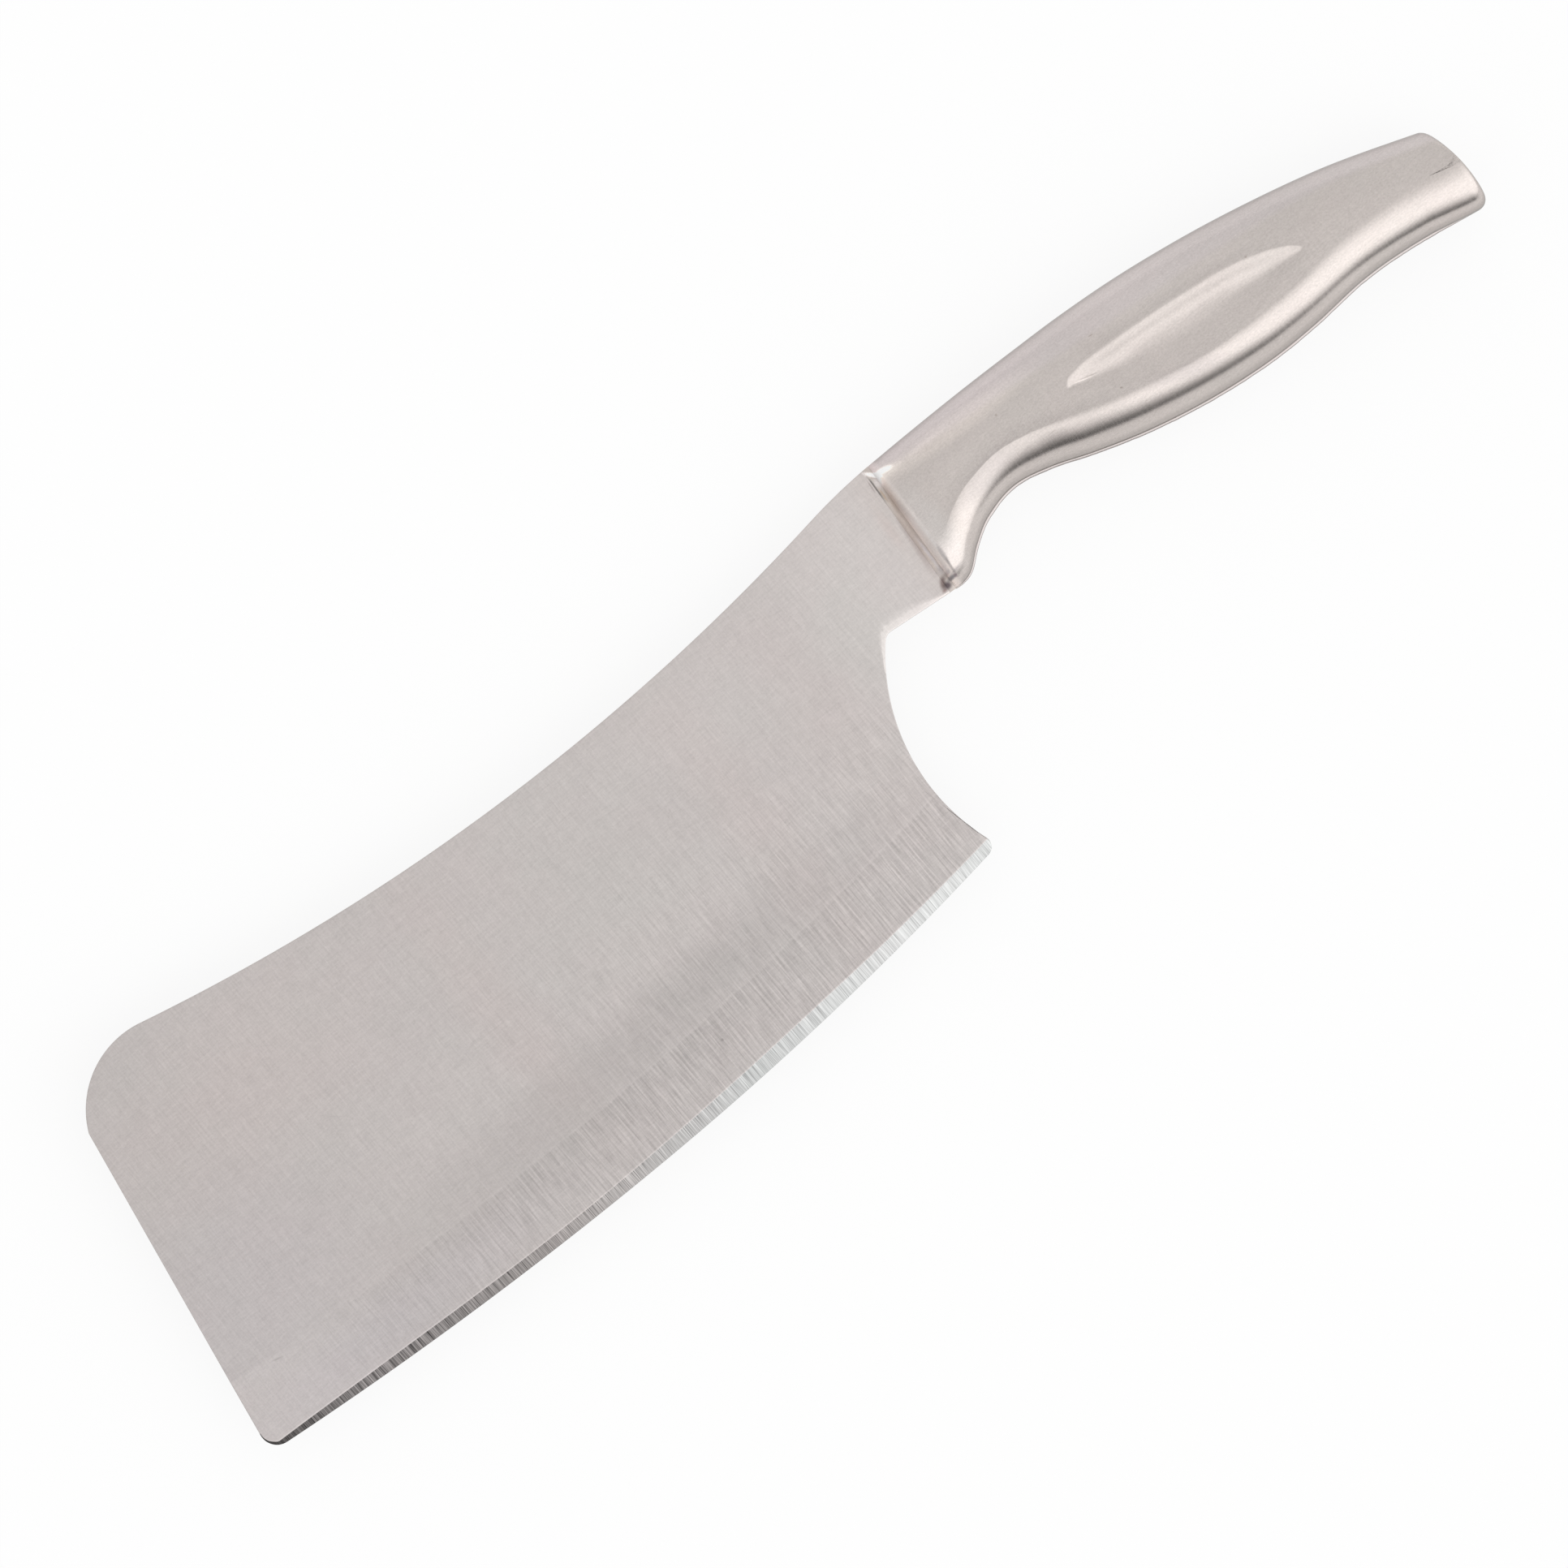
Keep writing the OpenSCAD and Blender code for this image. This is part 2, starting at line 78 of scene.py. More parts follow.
def table_curve(rows: Rows, places: np.ndarray) -> np.ndarray:
    """Smooth curve through a table's rows: cubic between rows, with slopes taken across each row.

    Args:
        rows: Places and values, in order of place.
        places: Where to read the curve.

    Returns:
        The curve's value at each place.
    """
    table = np.array(rows, float)
    x, y = table[:, 0], table[:, 1]
    before, after = np.r_[0, 0 : len(x) - 1], np.r_[1 : len(x), len(x) - 1]
    slopes = (y[after] - y[before]) / (x[after] - x[before])
    places = np.asarray(places, float)
    i = np.clip(np.searchsorted(x, places, side="right") - 1, 0, len(x) - 2)
    width = x[i + 1] - x[i]
    t = (places - x[i]) / width
    return (
        (1 + 2 * t) * (1 - t) ** 2 * y[i]
        + t * (1 - t) ** 2 * slopes[i] * width
        + t * t * (3 - 2 * t) * y[i + 1]
        + t * t * (t - 1) * slopes[i + 1] * width
    )


def arc(centre: np.ndarray, radius: float, start: float, end: float, steps: int) -> np.ndarray:
    """Points on an arc.

    Args:
        centre: Its middle.
        radius: Its radius.
        start: Angle of the first point, in degrees.
        end: Angle of the last point.
        steps: Number of stretches between points.

    Returns:
        An array of steps + 1 points.
    """
    turn = np.radians(np.linspace(start, end, steps + 1))
    return centre + radius * np.stack([np.cos(turn), np.sin(turn)], 1)


def bearing(start: np.ndarray, end: np.ndarray) -> float:
    """Angle of the way from one point to another, in degrees."""
    return math.degrees(math.atan2(end[1] - start[1], end[0] - start[0]))


def crossing(p: np.ndarray, r: float, q: np.ndarray, s: float) -> np.ndarray:
    """Where two circles cross, on the right of the way from the first middle to the second.

    Args:
        p: The first circle's middle.
        r: Its radius.
        q: The second circle's middle.
        s: Its radius.

    Returns:
        The crossing, from the circles' common chord.
    """
    d = float(np.linalg.norm(q - p))
    along = (d * d + r * r - s * s) / (2 * d)
    off = math.sqrt(max(r * r - along * along, 0.0))
    way = (q - p) / d
    return p + along * way + off * np.array([way[1], -way[0]])


def leaving(p: np.ndarray, way: np.ndarray, centre: np.ndarray, radius: float) -> np.ndarray:
    """Where a line last leaves a circle.

    Args:
        p: A point of the line.
        way: The line's unit way.
        centre: The circle's middle.
        radius: Its radius.

    Returns:
        The point where the distance from the middle is the radius again.
    """
    v = p - centre
    b = float(v @ way)
    return p + (math.sqrt(max(b * b - float(v @ v) + radius * radius, 0.0)) - b) * way


def lengths_along(points: np.ndarray) -> np.ndarray:
    """Distance of each point of a polyline from its first, along the line."""
    return np.r_[0, np.cumsum(np.linalg.norm(np.diff(points, axis=0), axis=1))]


def chained(stretches: list[np.ndarray]) -> np.ndarray:
    """Stretches of points in one row, all but the first without their first point."""
    return np.concatenate([stretches[0]] + [points[1:] for points in stretches[1:]])


def left_normals(points: np.ndarray) -> np.ndarray:
    """Unit normals on the left of a polyline's way.

    Args:
        points: The polyline, a point in each row.

    Returns:
        A normal for each point, square to the way between its neighbours.
    """
    way = np.gradient(points, axis=0)
    way /= np.maximum(np.linalg.norm(way, axis=1, keepdims=True), TINY)
    return np.stack([-way[:, 1], way[:, 0]], 1)


def waver(places: np.ndarray, seed: int, wavelength: float) -> np.ndarray:
    """Gentle irregular wave of about unit height, a sum of sines with seeded phases.

    Args:
        places: Where to read it.
        seed: Picks the phases.
        wavelength: Length of its slowest wave.

    Returns:
        Its value at each place.
    """
    phases = np.random.default_rng(seed).uniform(0, 2 * math.pi, len(WAVE_RATIOS))
    turns = np.asarray(places, float)[..., None] * WAVE_RATIOS / wavelength
    return (np.sin(2 * math.pi * turns + phases) / WAVE_RATIOS**WAVE_FADE).sum(-1) / 2


# Meshes


def grid_quads(rows: int, columns: int, first: int = 0, flip: bool = False) -> np.ndarray:
    """Quads of a grid of points.

    Args:
        rows: Number of rows.
        columns: Number of points in a row.
        first: Number of the grid's first point.
        flip: Turns the faces over.

    Returns:
        The point numbers of each quad.
    """
    a = first + np.arange(rows - 1)[:, None] * columns + np.arange(columns - 1)[None, :]
    quads = np.stack([a, a + columns, a + columns + 1, a + 1], -1).reshape(-1, 4)
    return quads[:, ::-1] if flip else quads


def band_quads(lower: np.ndarray, upper: np.ndarray, closed: bool = False) -> np.ndarray:
    """Quads between two rows of point numbers.

    Args:
        lower: The first row.
        upper: The second row, with as many points.
        closed: Joins each row's last point to its first.

    Returns:
        The point numbers of each quad.
    """
    if closed:
        lower, upper = np.r_[lower, lower[:1]], np.r_[upper, upper[:1]]
    return np.stack([lower[:-1], lower[1:], upper[1:], upper[:-1]], -1)


def fan(rim: np.ndarray, pole: int, flip: bool = False) -> np.ndarray:
    """Triangles from a row of point numbers to one point."""
    triangles = np.stack([rim[:-1], rim[1:], np.full(len(rim) - 1, pole)], -1)
    return triangles[:, ::-1] if flip else triangles


@dataclass(frozen=True)
class KnifeFrame:
    """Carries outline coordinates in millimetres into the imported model's frame in metres."""

    knife_l: float = 305.4
    knife_h: float = 78.4
    mid_z: float = 8.75

    def place(self, points: np.ndarray) -> np.ndarray:
        """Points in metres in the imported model's frame."""
        return (points + np.array([-self.knife_l / 2, -self.knife_h / 2, self.mid_z])) / MM_PER_M


FRAME = KnifeFrame()


@dataclass
class Skin:
    """A mesh in the making: points in millimetres, faces, and one value a point for each attribute."""

    points: np.ndarray
    faces: list[np.ndarray]
    attributes: dict[str, np.ndarray] = field(default_factory=dict)

    def mirrored(self) -> "Skin":
        """The same skin on the other side of the blade's middle plane."""
        return Skin(self.points * MIRROR, [f[:, ::-1] for f in self.faces], dict(self.attributes))

    def piece(self, name: str, node: str, slot: str, material: bpy.types.Material) -> bpy.types.Object:
        """Turns the skin into a Blender object that stands for a CAD node.

        Args:
            name: The object's name.
            node: The CAD node that it stands for.
            slot: The record's material slot; not used.
            material: Its finish.

        Returns:
            The new object, riding on the knife's one body.
        """
        mesh = bpy.data.meshes.new(name)
        faces = [face for group in self.faces for face in group.tolist()]
        mesh.from_pydata(FRAME.place(self.points).tolist(), [], faces)
        mesh.polygons.foreach_set("use_smooth", np.ones(len(faces), bool))
        for label, values in self.attributes.items():
            made = mesh.attributes.new(label, "FLOAT", "POINT")
            made.data.foreach_set("value", np.asarray(values, np.float32).ravel())
        mesh.update()
        mesh.materials.append(material)
        made_object = bpy.data.objects.new(name, mesh)
        bpy.context.scene.collection.objects.link(made_object)
        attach(made_object, "root")
        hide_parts(node)
        log.info("%s: %d points, %d faces", name, len(self.points), len(faces))
        return made_object


# Handle outline, which the neck of the blade also follows


@dataclass(frozen=True)
class HandleForm:
    """The outline and section of the hollow handle, as in the part's source.

    A place along the handle is in millimetres behind the weld line, and a height in its section is a
    share, from 0 at the foot to 1 at the top. Tables run along the handle as shares of its length,
    but for the dimple's upper edge, along the dimple, and the ridge, in millimetres.
    """

    junction_x: float = 188.3
    handle_top: float = 70.8696
    handle_l: float = 117.1
    handle_h: float = 27.85
    handle_t: float = 17.5
    handle_drop: float = 17.75
    blade_t: float = 2.0
    wall: float = 1.0
    shoulder_w: float = 8.2
    back_w: float = 8.6
    front_run: float = 1.8
    butt_r: float = 0.6
    butt_corner_r: float = 2.4
    butt_top_r: float = 1.5
    butt_bow: float = 0.88
    weld_lean: float = 4.0
    dimple_l: float = 47.6
    dimple_start: float = 38.1
    dimple_fall_w: float = 6.0
    dimple_even_share: float = 0.45
    dimple_rise_w: float = 5.0
    dimple_step_w: float = 0.4
    dimple_depth: float = 1.25
    dimple_soft: float = 0.25
    seam_w: float = 0.8
    bead_h: float = 0.5
    bead_run: float = 7.0
    neck_weld_l: float = 1.3
    neck_weld_h: float = 1.6
    crown_share: float = 0.04
    butt_peak_share: float = 0.3
    seam_end_share: float = 0.965
    cut_most_share: float = 0.9
    least_fall: float = 0.6
    band_border: float = 0.8
    line_gap_share: float = 0.02
    even_stretches: int = 4
    height_shares: Rows = (
        (0, 0.943), (0.025, 0.958), (0.047, 0.935), (0.078, 0.838), (0.117, 0.749), (0.176, 0.699),
        (0.236, 0.747), (0.304, 0.846), (0.389, 0.944), (0.491, 1), (0.593, 0.989), (0.678, 0.925),
        (0.78, 0.802), (0.866, 0.727), (1, 0.622),
    )
    drop_shares: Rows = (
        (0, 0.003), (0.025, 0), (0.047, 0), (0.078, 0), (0.117, 0.002), (0.176, 0.008),
        (0.236, 0.019), (0.304, 0.038), (0.389, 0.067), (0.491, 0.131), (0.593, 0.233), (0.678, 0.343),
        (0.78, 0.504), (0.866, 0.669), (1, 0.987),
    )
    thickness_shares: Rows = ((0, 0.72), (0.15, 0.8), (0.35, 0.94), (0.58, 1), (0.8, 0.98), (1, 0.94))
    shoulder_shares: Rows = (
        (0, 1.17), (0.12, 1.04), (0.2, 0.98), (0.286, 0.92),
        (0.44, 0.915), (0.62, 0.91), (0.8, 0.97), (1, 1.15),
    )
    shoulder_cut: Rows = ((0, 0.02), (0.15, 0.23), (0.3, 0.02), (0.42, 0), (1, 0))
    shoulder_inner: Rows = ((0, 2.25), (0.4, 1.75), (1, 1.97))
    shoulder_outer: Rows = ((0, 1.82), (0.4, 1.62), (1, 2.58))
    ridge_rows: Rows = ((0, 0), (2.5, 0.34), (5.5, 0.32), (8, 0.17), (20, 0.13), (34, 0), (118, 0))
    ridge_run: float = 1.5
    back_band: Rows = ((0, 2.7), (0.06, 3.0), (0.21, 4.7), (0.44, 6.1), (0.6, 5.4), (0.81, 3.6), (1, 2.6))
    crease_shares: Rows = (
        (0, 0.545), (0.02, 0.588), (0.051, 0.612), (0.121, 0.64), (0.24, 0.656), (0.361, 0.667),
        (0.55, 0.675), (0.728, 0.67), (0.87, 0.632), (0.96, 0.57), (1, 0.512),
    )

    @property
    def rim(self) -> float:
        """Half the gap between the shells, which the seam welds fill."""
        return self.seam_w / 2

    @cached_property
    def lean_run(self) -> float:
        """How far the weld line leans back over the neck's height."""
        foot = self.handle_h * self.height_shares[0][1]
        return foot * math.tan(math.radians(self.weld_lean))

    def along(self, rows: Rows, s: np.ndarray) -> np.ndarray:
        """A table's value at places along the handle."""
        return table_curve(rows, s / self.handle_l)

    def bead_rise(self, s: np.ndarray) -> np.ndarray:
        """How far the belly weld stands out of the shells, s behind the weld line."""
        fade = (self.seam_end_share * self.handle_l - s) / self.bead_run
        return self.bead_h * np.clip(np.minimum(s / self.bead_run, fade), 0, 1)

    def spine_y(self, s: np.ndarray) -> np.ndarray:
        """Height of the shells' upper outline."""
        return self.handle_top - self.handle_drop * self.along(self.drop_shares, s)

    def belly_y(self, s: np.ndarray) -> np.ndarray:
        """Height of the shells' lower outline."""
        height = self.handle_h * self.along(self.height_shares, s)
        return self.spine_y(s) - height + self.bead_rise(s)

    @staticmethod
    def round_off(radius: float, before_end: np.ndarray) -> np.ndarray:
        """Fall of a round edge, before the place where it ends."""
        inside = np.clip(radius - before_end, 0, radius)
        return radius - np.sqrt(radius * radius - inside * inside)

    def foot_y(self, s: np.ndarray) -> np.ndarray:
        """Lower outline with the round corner of the end."""
        return self.belly_y(s) + self.round_off(self.butt_corner_r, self.handle_l - s)

    def top_y(self, s: np.ndarray) -> np.ndarray:
        """Upper outline with the round corner of the end."""
        shifted = s + self.lean_run * (1 - s / self.handle_l) ** 2
        return self.spine_y(shifted) - self.round_off(self.butt_top_r, self.handle_l - s)

    def station_x(self, s: np.ndarray, v: np.ndarray) -> np.ndarray:
        """X of a station, with the lean of the weld and the bow of the end.

        The lean fades as the square of the way left to the end. The bow grows as the square of the
        height's distance from the end's peak, and as the fourth power of the way along.

        Args:
            s: The station's place along the handle.
            v: Height in its section, from 0 to 1.

        Returns:
            X in outline coordinates.
        """
        share = s / self.handle_l
        bow = ((v - self.butt_peak_share) / (1 - self.butt_peak_share)) ** 2 * share**4
        return self.junction_x + s + self.lean_run * v * (1 - share) ** 2 - self.butt_bow * bow

    def side_z(self, s: np.ndarray) -> np.ndarray:
        """Half thickness: a quarter ellipse at the front, the table, and a round edge at the end.

        Args:
            s: Places along the handle.

        Returns:
            The half thickness at each place.
        """
        full = self.handle_t / 2 * self.along(self.thickness_shares, s)
        start = self.blade_t / 2 + self.neck_weld_h
        t = np.clip((s - self.neck_weld_l) / self.front_run, 0, 1)
        rise = start + (full - start) * np.sqrt(np.clip(1 - (1 - t) ** 2, 0, 1))
        return rise - self.round_off(self.butt_r, self.handle_l - s)

    def dimple_place(self, s: np.ndarray) -> np.ndarray:
        """Place along the dimple, from 0 to 1."""
        return np.clip((s - self.dimple_start) / self.dimple_l, 0, 1)

    def crease_v(self, s: np.ndarray) -> np.ndarray:
        """Height in the section of the dimple's upper edge."""
        return table_curve(self.crease_shares, self.dimple_place(s))

    def dimple_fullness(self, s: np.ndarray) -> np.ndarray:
        """Bell along the dimple: 0 at its tips and 1 in its middle."""
        return np.clip(np.sin(math.pi * self.dimple_place(s)), 0, 1)

    def dimple(self, s: np.ndarray, below: np.ndarray) -> np.ndarray:
        """Depth of the dimple at a distance below its upper edge.

        The floor falls evenly from the sharp upper edge, levels out at the deepest line, then climbs
        out: in a short step at the tips and gently in the middle.

        Args:
            s: Places along the handle.
            below: Distances below the upper edge.

        Returns:
            The depth at each place.
        """
        bell = self.dimple_fullness(s)
        below = np.where(below > 0, np.sqrt(below**2 + self.dimple_soft**2) - self.dimple_soft, below)
        fall = np.maximum(self.dimple_fall_w * np.sqrt(bell), TINY)
        rise = self.dimple_step_w + self.dimple_rise_w * bell
        t, even = np.clip(below / fall, 0, 1), self.dimple_even_share
        bend = (1 - even) * 2 / math.pi
        falling = np.minimum(t, even) + bend * np.sin(np.clip((t - even) / (1 - even), 0, 1) * math.pi / 2)
        rising = np.cos(math.pi / 2 * np.clip((below - fall) / rise, 0, 1)) ** 2
        return self.dimple_depth * np.sqrt(bell) * np.where(below < fall, falling / (even + bend), rising)

    def shoulder_at(self, s: np.ndarray) -> tuple[np.ndarray, ...]:
        """The shoulder's curve.

        Args:
            s: Places along the handle.

        Returns:
            Its width, how far in its crease lies, and its inner and outer powers.
        """
        width = self.shoulder_w * self.along(self.shoulder_shares, s)
        cut = np.clip(self.along(self.shoulder_cut, s), 0, self.cut_most_share)
        inner, outer = self.along(self.shoulder_inner, s), self.along(self.shoulder_outer, s)
        return width, width * (1 - cut), inner, outer

    @staticmethod
    def shoulder_rise(
        depth: np.ndarray, width: np.ndarray, crease: np.ndarray, inner: np.ndarray, outer: np.ndarray
    ) -> np.ndarray:
        """Rise of the shoulder as a share of its height.

        It is a round curve, 1 - (1 - depth / width) ^ inner, raised to 1 / outer. The flat side cuts it
        off at the crease, which lies less than a width in.

        Args:
            depth: Distances in from the seam.
            width: The shoulder's width.
            crease: How far in its crease lies.
            inner: The curve's inner power.
            outer: Its outer power.

        Returns:
            The rise, from 0 at the seam to 1 at the crease.
        """
        curve = np.maximum(1 - (1 - np.clip(depth / width, 0, 1)) ** inner, 0) ** (1 / outer)
        return np.minimum(curve / (1 - (1 - crease / width) ** inner) ** (1 / outer), 1)

    def section_v(self, s: np.ndarray, steps: tuple[int, ...]) -> np.ndarray:
        """Heights of the points of each section.

        Points lie on five lines: the shoulder's crease, the dimple's deepest line, its upper edge, the
        spine band's border and the spine. Between two lines they are crowded towards both, and on the
        last stretch towards the spine only.

        Args:
            s: Places along the handle.
            steps: Number of steps from the foot to each of the five lines.

        Returns:
            One row of heights for each place.
        """
        height = (self.top_y(s) - self.foot_y(s))[:, None]
        crease = self.crease_v(s)[:, None]
        fall = np.maximum(self.dimple_fall_w * np.sqrt(self.dimple_fullness(s)), self.least_fall)[:, None]
        shoulder = self.shoulder_at(s)[1][:, None] / height
        band = self.along(self.back_band, s)[:, None] + self.band_border
        border = np.maximum(1 - band / height, crease + self.line_gap_share)
        deepest = np.maximum(crease - fall / height, shoulder + self.line_gap_share)
        lines = [0 * crease, shoulder, deepest, crease, border, np.ones_like(crease)]
        stretches = []
        for k, count in enumerate(steps):
            even = np.linspace(0, math.pi, count + 1)[:-1]
            share = (1 - np.cos(even)) / 2 if k < self.even_stretches else np.sin(even / 2)
            stretches.append(lines[k] + (lines[k + 1] - lines[k]) * share)
        return np.concatenate(stretches + [lines[-1]], 1)

    @staticmethod
    def round_rise(depth: np.ndarray, width: np.ndarray) -> np.ndarray:
        """Rise of a round side of a width, a depth in from the seam, as a share of its height."""
        return np.sqrt(np.clip(1 - (1 - np.clip(depth / width, 0, 1)) ** 2, 0, 1))

    def skin(self, s: np.ndarray, v: np.ndarray, inset: float = 0.0) -> np.ndarray:
        """Points of the left shell's skin.

        The height of the surface is the half thickness, times a round curve of the distance from
        the belly seam, times a round curve of the distance from the spine seam, less a slight crown
        and the dimple. Near the front the band along the spine stands up in a low ridge.

        Args:
            s: Places along the handle, one for each row.
            v: Heights in the section, one row for each place.
            inset: How far the skin lies inside the outer one.

        Returns:
            An array of rows, columns and coordinates.
        """
        span = self.handle_l - self.neck_weld_l
        place = self.neck_weld_l + inset + (s - self.neck_weld_l) * (span - 2 * inset) / span
        foot = self.foot_y(s)[:, None] + inset
        height = self.top_y(s)[:, None] - inset - foot
        z = self.side_z(s)[:, None] - inset - self.rim
        shoulder = self.shoulder_rise(v * height, *(each[:, None] for each in self.shoulder_at(s)))
        back = self.round_rise((1 - v) * height, np.array(self.back_w))
        crown = 1 - self.crown_share * (2 * v - 1) ** 2
        drop = self.dimple(s[:, None], (self.crease_v(s)[:, None] - v) * height)
        band = self.along(self.back_band, s)[:, None]
        t = np.clip((band - (1 - v) * height) / self.ridge_run + 0.5, 0, 1)
        ridge = np.interp(s, *np.array(self.ridge_rows).T)[:, None] * t * t * (3 - 2 * t)
        side = self.rim + (z + ridge) * shoulder * back * crown - drop
        return np.stack([self.station_x(place[:, None], v), foot + v * height, side], -1)


FORM = HandleForm()


# Blade


@dataclass
class Blade:
    """The plate with its cutting edge, ground band, finger curve and neck."""

    blade_l: float = 163.7
    blade_h: float = 78.4
    blade_t: float = 2.0
    edge_front_r: float = 768.0
    edge_rear_r: float = 600.0
    front_lean: float = 10.3
    tip_r: float = 3.3
    corner_r: float = 17.0
    corner_flat: float = 0.6
    spine_dip: float = 12.0
    choil_r: float = 38.0
    choil_y: float = 19.1
    heel_r: float = 2.0
    grind_h: float = 14.2
    bevel_w: float = 2.7
    bevel_angle: float = 15.0
    edge_t: float = 0.16
    neck_slope: float = 6.6
    neck_fillet_r: float = 2.0
    nape_r: float = 110.0
    nape_step: float = 3.7
    edge_low_share: float = 0.5376
    spine_low_share: float = 0.7635
    bevel_shares: Rows = (
        (0, 0.29), (0.05, 0.46), (0.12, 0.62), (0.2, 0.73), (0.42, 0.77),
        (0.6, 0.95), (0.75, 1), (0.85, 0.9), (1, 0.76),
    )
    # The eased edge of the neck, the round edges and the facet at the tip
    ease_w: float = 2.3
    ease_depth: float = 0.2
    ease_power: float = 1.3
    ease_rows: Rows = ((170.5, 0.0), (173.5, 0.9), (176, 1), (181.5, 0.95), (186.8, 0.12), (190, 0.0))
    rounding: float = 0.14
    rounding_turns: tuple[float, ...] = (25, 50, 72, 90)
    tip_facet_rows: Rows = ((0, 0.3), (0.6, 0.45), (3.3, 0.75))
    # Points along the outlines, and where the columns and rows of the sides lie
    lower_steps: tuple[int, ...] = (14, 90, 80, 12, 60, 10, 40)
    upper_steps: tuple[int, ...] = (80, 200, 30)
    joined_edge_x: float = 150.0
    joined_choil_step: int = 22
    joined_top_x: tuple[float, ...] = (16, 142, 152, 156, 176.5)
    bevel_row_shares: tuple[float, ...] = (0.2, 0.5, 0.8)
    bevel_row_steps: tuple[float, ...] = (-0.05, 0.05, 0.3)
    row_heights: tuple[float, ...] = (3.6, 5, 7, 9, 11, 12.8, 13.9, 14.2, 14.5)
    row_rounds: int = 3
    row_gap: float = 0.03
    row_gap_eased: float = 0.27
    row_gap_growth: float = 4.0
    upper_rows: int = 14
    last_row_gap: float = 0.15
    smoothing_weight: int = 80

    @property
    def edge_low_x(self) -> float:
        """X of the lowest point of the edge."""
        return self.edge_low_share * self.blade_l

    def edge_y(self, x: np.ndarray) -> np.ndarray:
        """Height of the cutting edge."""
        radius = np.where(x < self.edge_low_x, self.edge_front_r, self.edge_rear_r)
        return radius - np.sqrt(radius**2 - (x - self.edge_low_x) ** 2)

    def bevel_at(self, x: np.ndarray) -> np.ndarray:
        """Width of the edge bevel."""
        return self.bevel_w * table_curve(self.bevel_shares, np.clip(x / self.blade_l, 0, 1))

    def side_z(self, x: np.ndarray, y: np.ndarray) -> np.ndarray:
        """Half thickness of the ground plate: the bevel's slope, the band's slope, then the flat.

        Args:
            x: Places along the blade.
            y: Their heights.

        Returns:
            The height of the left side above the middle plane.
        """
        above = np.maximum(y - self.edge_y(x), 0)
        bevel = self.bevel_at(x)
        slope = math.tan(math.radians(self.bevel_angle))
        shoulder = self.edge_t / 2 + bevel * slope
        band = shoulder + (self.blade_t / 2 - shoulder) * (above - bevel) / (self.grind_h - bevel)
        return np.minimum(self.blade_t / 2, np.where(above < bevel, self.edge_t / 2 + above * slope, band))

    def outlines(self) -> tuple[np.ndarray, np.ndarray, np.ndarray]:
        """The lower and upper outline, both from front to neck, as arcs that pass into one another.

        Returns:
            Points of the lower outline, points of the upper outline, and the numbers of the lower
            points where one arc passes into the next.
        """
        low, form = self.edge_low_x, FORM
        front_inner_r = self.edge_front_r - self.tip_r
        tip_y = self.edge_front_r - math.sqrt(front_inner_r**2 - (low - self.tip_r) ** 2)
        tip = np.array([self.tip_r, tip_y])
        lean = math.radians(self.front_lean)
        foot = tip + self.tip_r * np.array([-math.cos(lean), math.sin(lean)])
        corner_y = self.blade_h - self.corner_r
        front_x = foot[0] + (corner_y - foot[1]) * math.tan(lean)
        corner = np.array([front_x + (self.corner_r - self.corner_flat) / math.cos(lean), corner_y])
        spine_low = np.array([self.spine_low_share * self.blade_l, self.blade_h - self.spine_dip])
        away = spine_low - corner
        spine_r = (float(away @ away) - self.corner_r**2) / (2 * self.spine_dip)
        corner_turn = math.degrees(math.asin(away[0] / (spine_r + self.corner_r)))
        nape = np.array([form.junction_x + self.nape_step, form.handle_top - self.nape_r])
        nape_turn = math.degrees(math.asin((nape[0] - spine_low[0]) / (spine_r + self.nape_r)))
        choil = np.array([self.blade_l + self.choil_r, self.choil_y])
        front_centre, rear_centre = np.array([low, self.edge_front_r]), np.array([low, self.edge_rear_r])
        slope = math.radians(self.neck_slope)
        square = np.array([math.sin(slope), math.cos(slope)])
        neck_foot = np.array([form.junction_x, float(form.belly_y(np.array(0.0)))])
        heel = crossing(rear_centre, self.edge_rear_r - self.heel_r, choil, self.choil_r + self.heel_r)
        along = np.array([-math.cos(slope), math.sin(slope)])
        fillet = leaving(
            neck_foot - self.neck_fillet_r * square, along, choil, self.choil_r - self.neck_fillet_r
        )
        front_top = leaving(foot, np.array([math.sin(lean), math.cos(lean)]), corner, self.corner_r)
        tip_end = 360 + bearing(front_centre, tip)
        rear_end, heel_end = bearing(rear_centre, heel), bearing(heel, choil)
        steps = self.lower_steps
        lower_arcs = [
            arc(tip, self.tip_r, 180 - self.front_lean, tip_end, steps[0]),
            arc(front_centre, self.edge_front_r, tip_end, 270, steps[1]),
            arc(rear_centre, self.edge_rear_r, 270, 360 + rear_end, steps[2]),
            arc(heel, self.heel_r, rear_end, heel_end, steps[3]),
            arc(choil, self.choil_r, 180 + heel_end, bearing(choil, fillet), steps[4]),
            arc(fillet, self.neck_fillet_r, bearing(choil, fillet), 90 - self.neck_slope, steps[5]),
            np.linspace(fillet + self.neck_fillet_r * square, neck_foot, steps[6]),
        ]
        marks = np.r_[0, np.cumsum([len(points) - 1 for points in lower_arcs])]
        top_x = form.junction_x + form.lean_run
        top_turn = 90 + math.degrees(math.asin((nape[0] - top_x) / self.nape_r))
        spine_centre = spine_low + [0, spine_r]
        upper_arcs = [
            arc(corner, self.corner_r, bearing(corner, front_top), 90 - corner_turn, self.upper_steps[0]),
            arc(spine_centre, spine_r, 270 - corner_turn, 270 + nape_turn, self.upper_steps[1]),
            arc(nape, self.nape_r, 90 + nape_turn, top_turn, self.upper_steps[2]),
        ]
        return chained(lower_arcs), chained(upper_arcs), marks

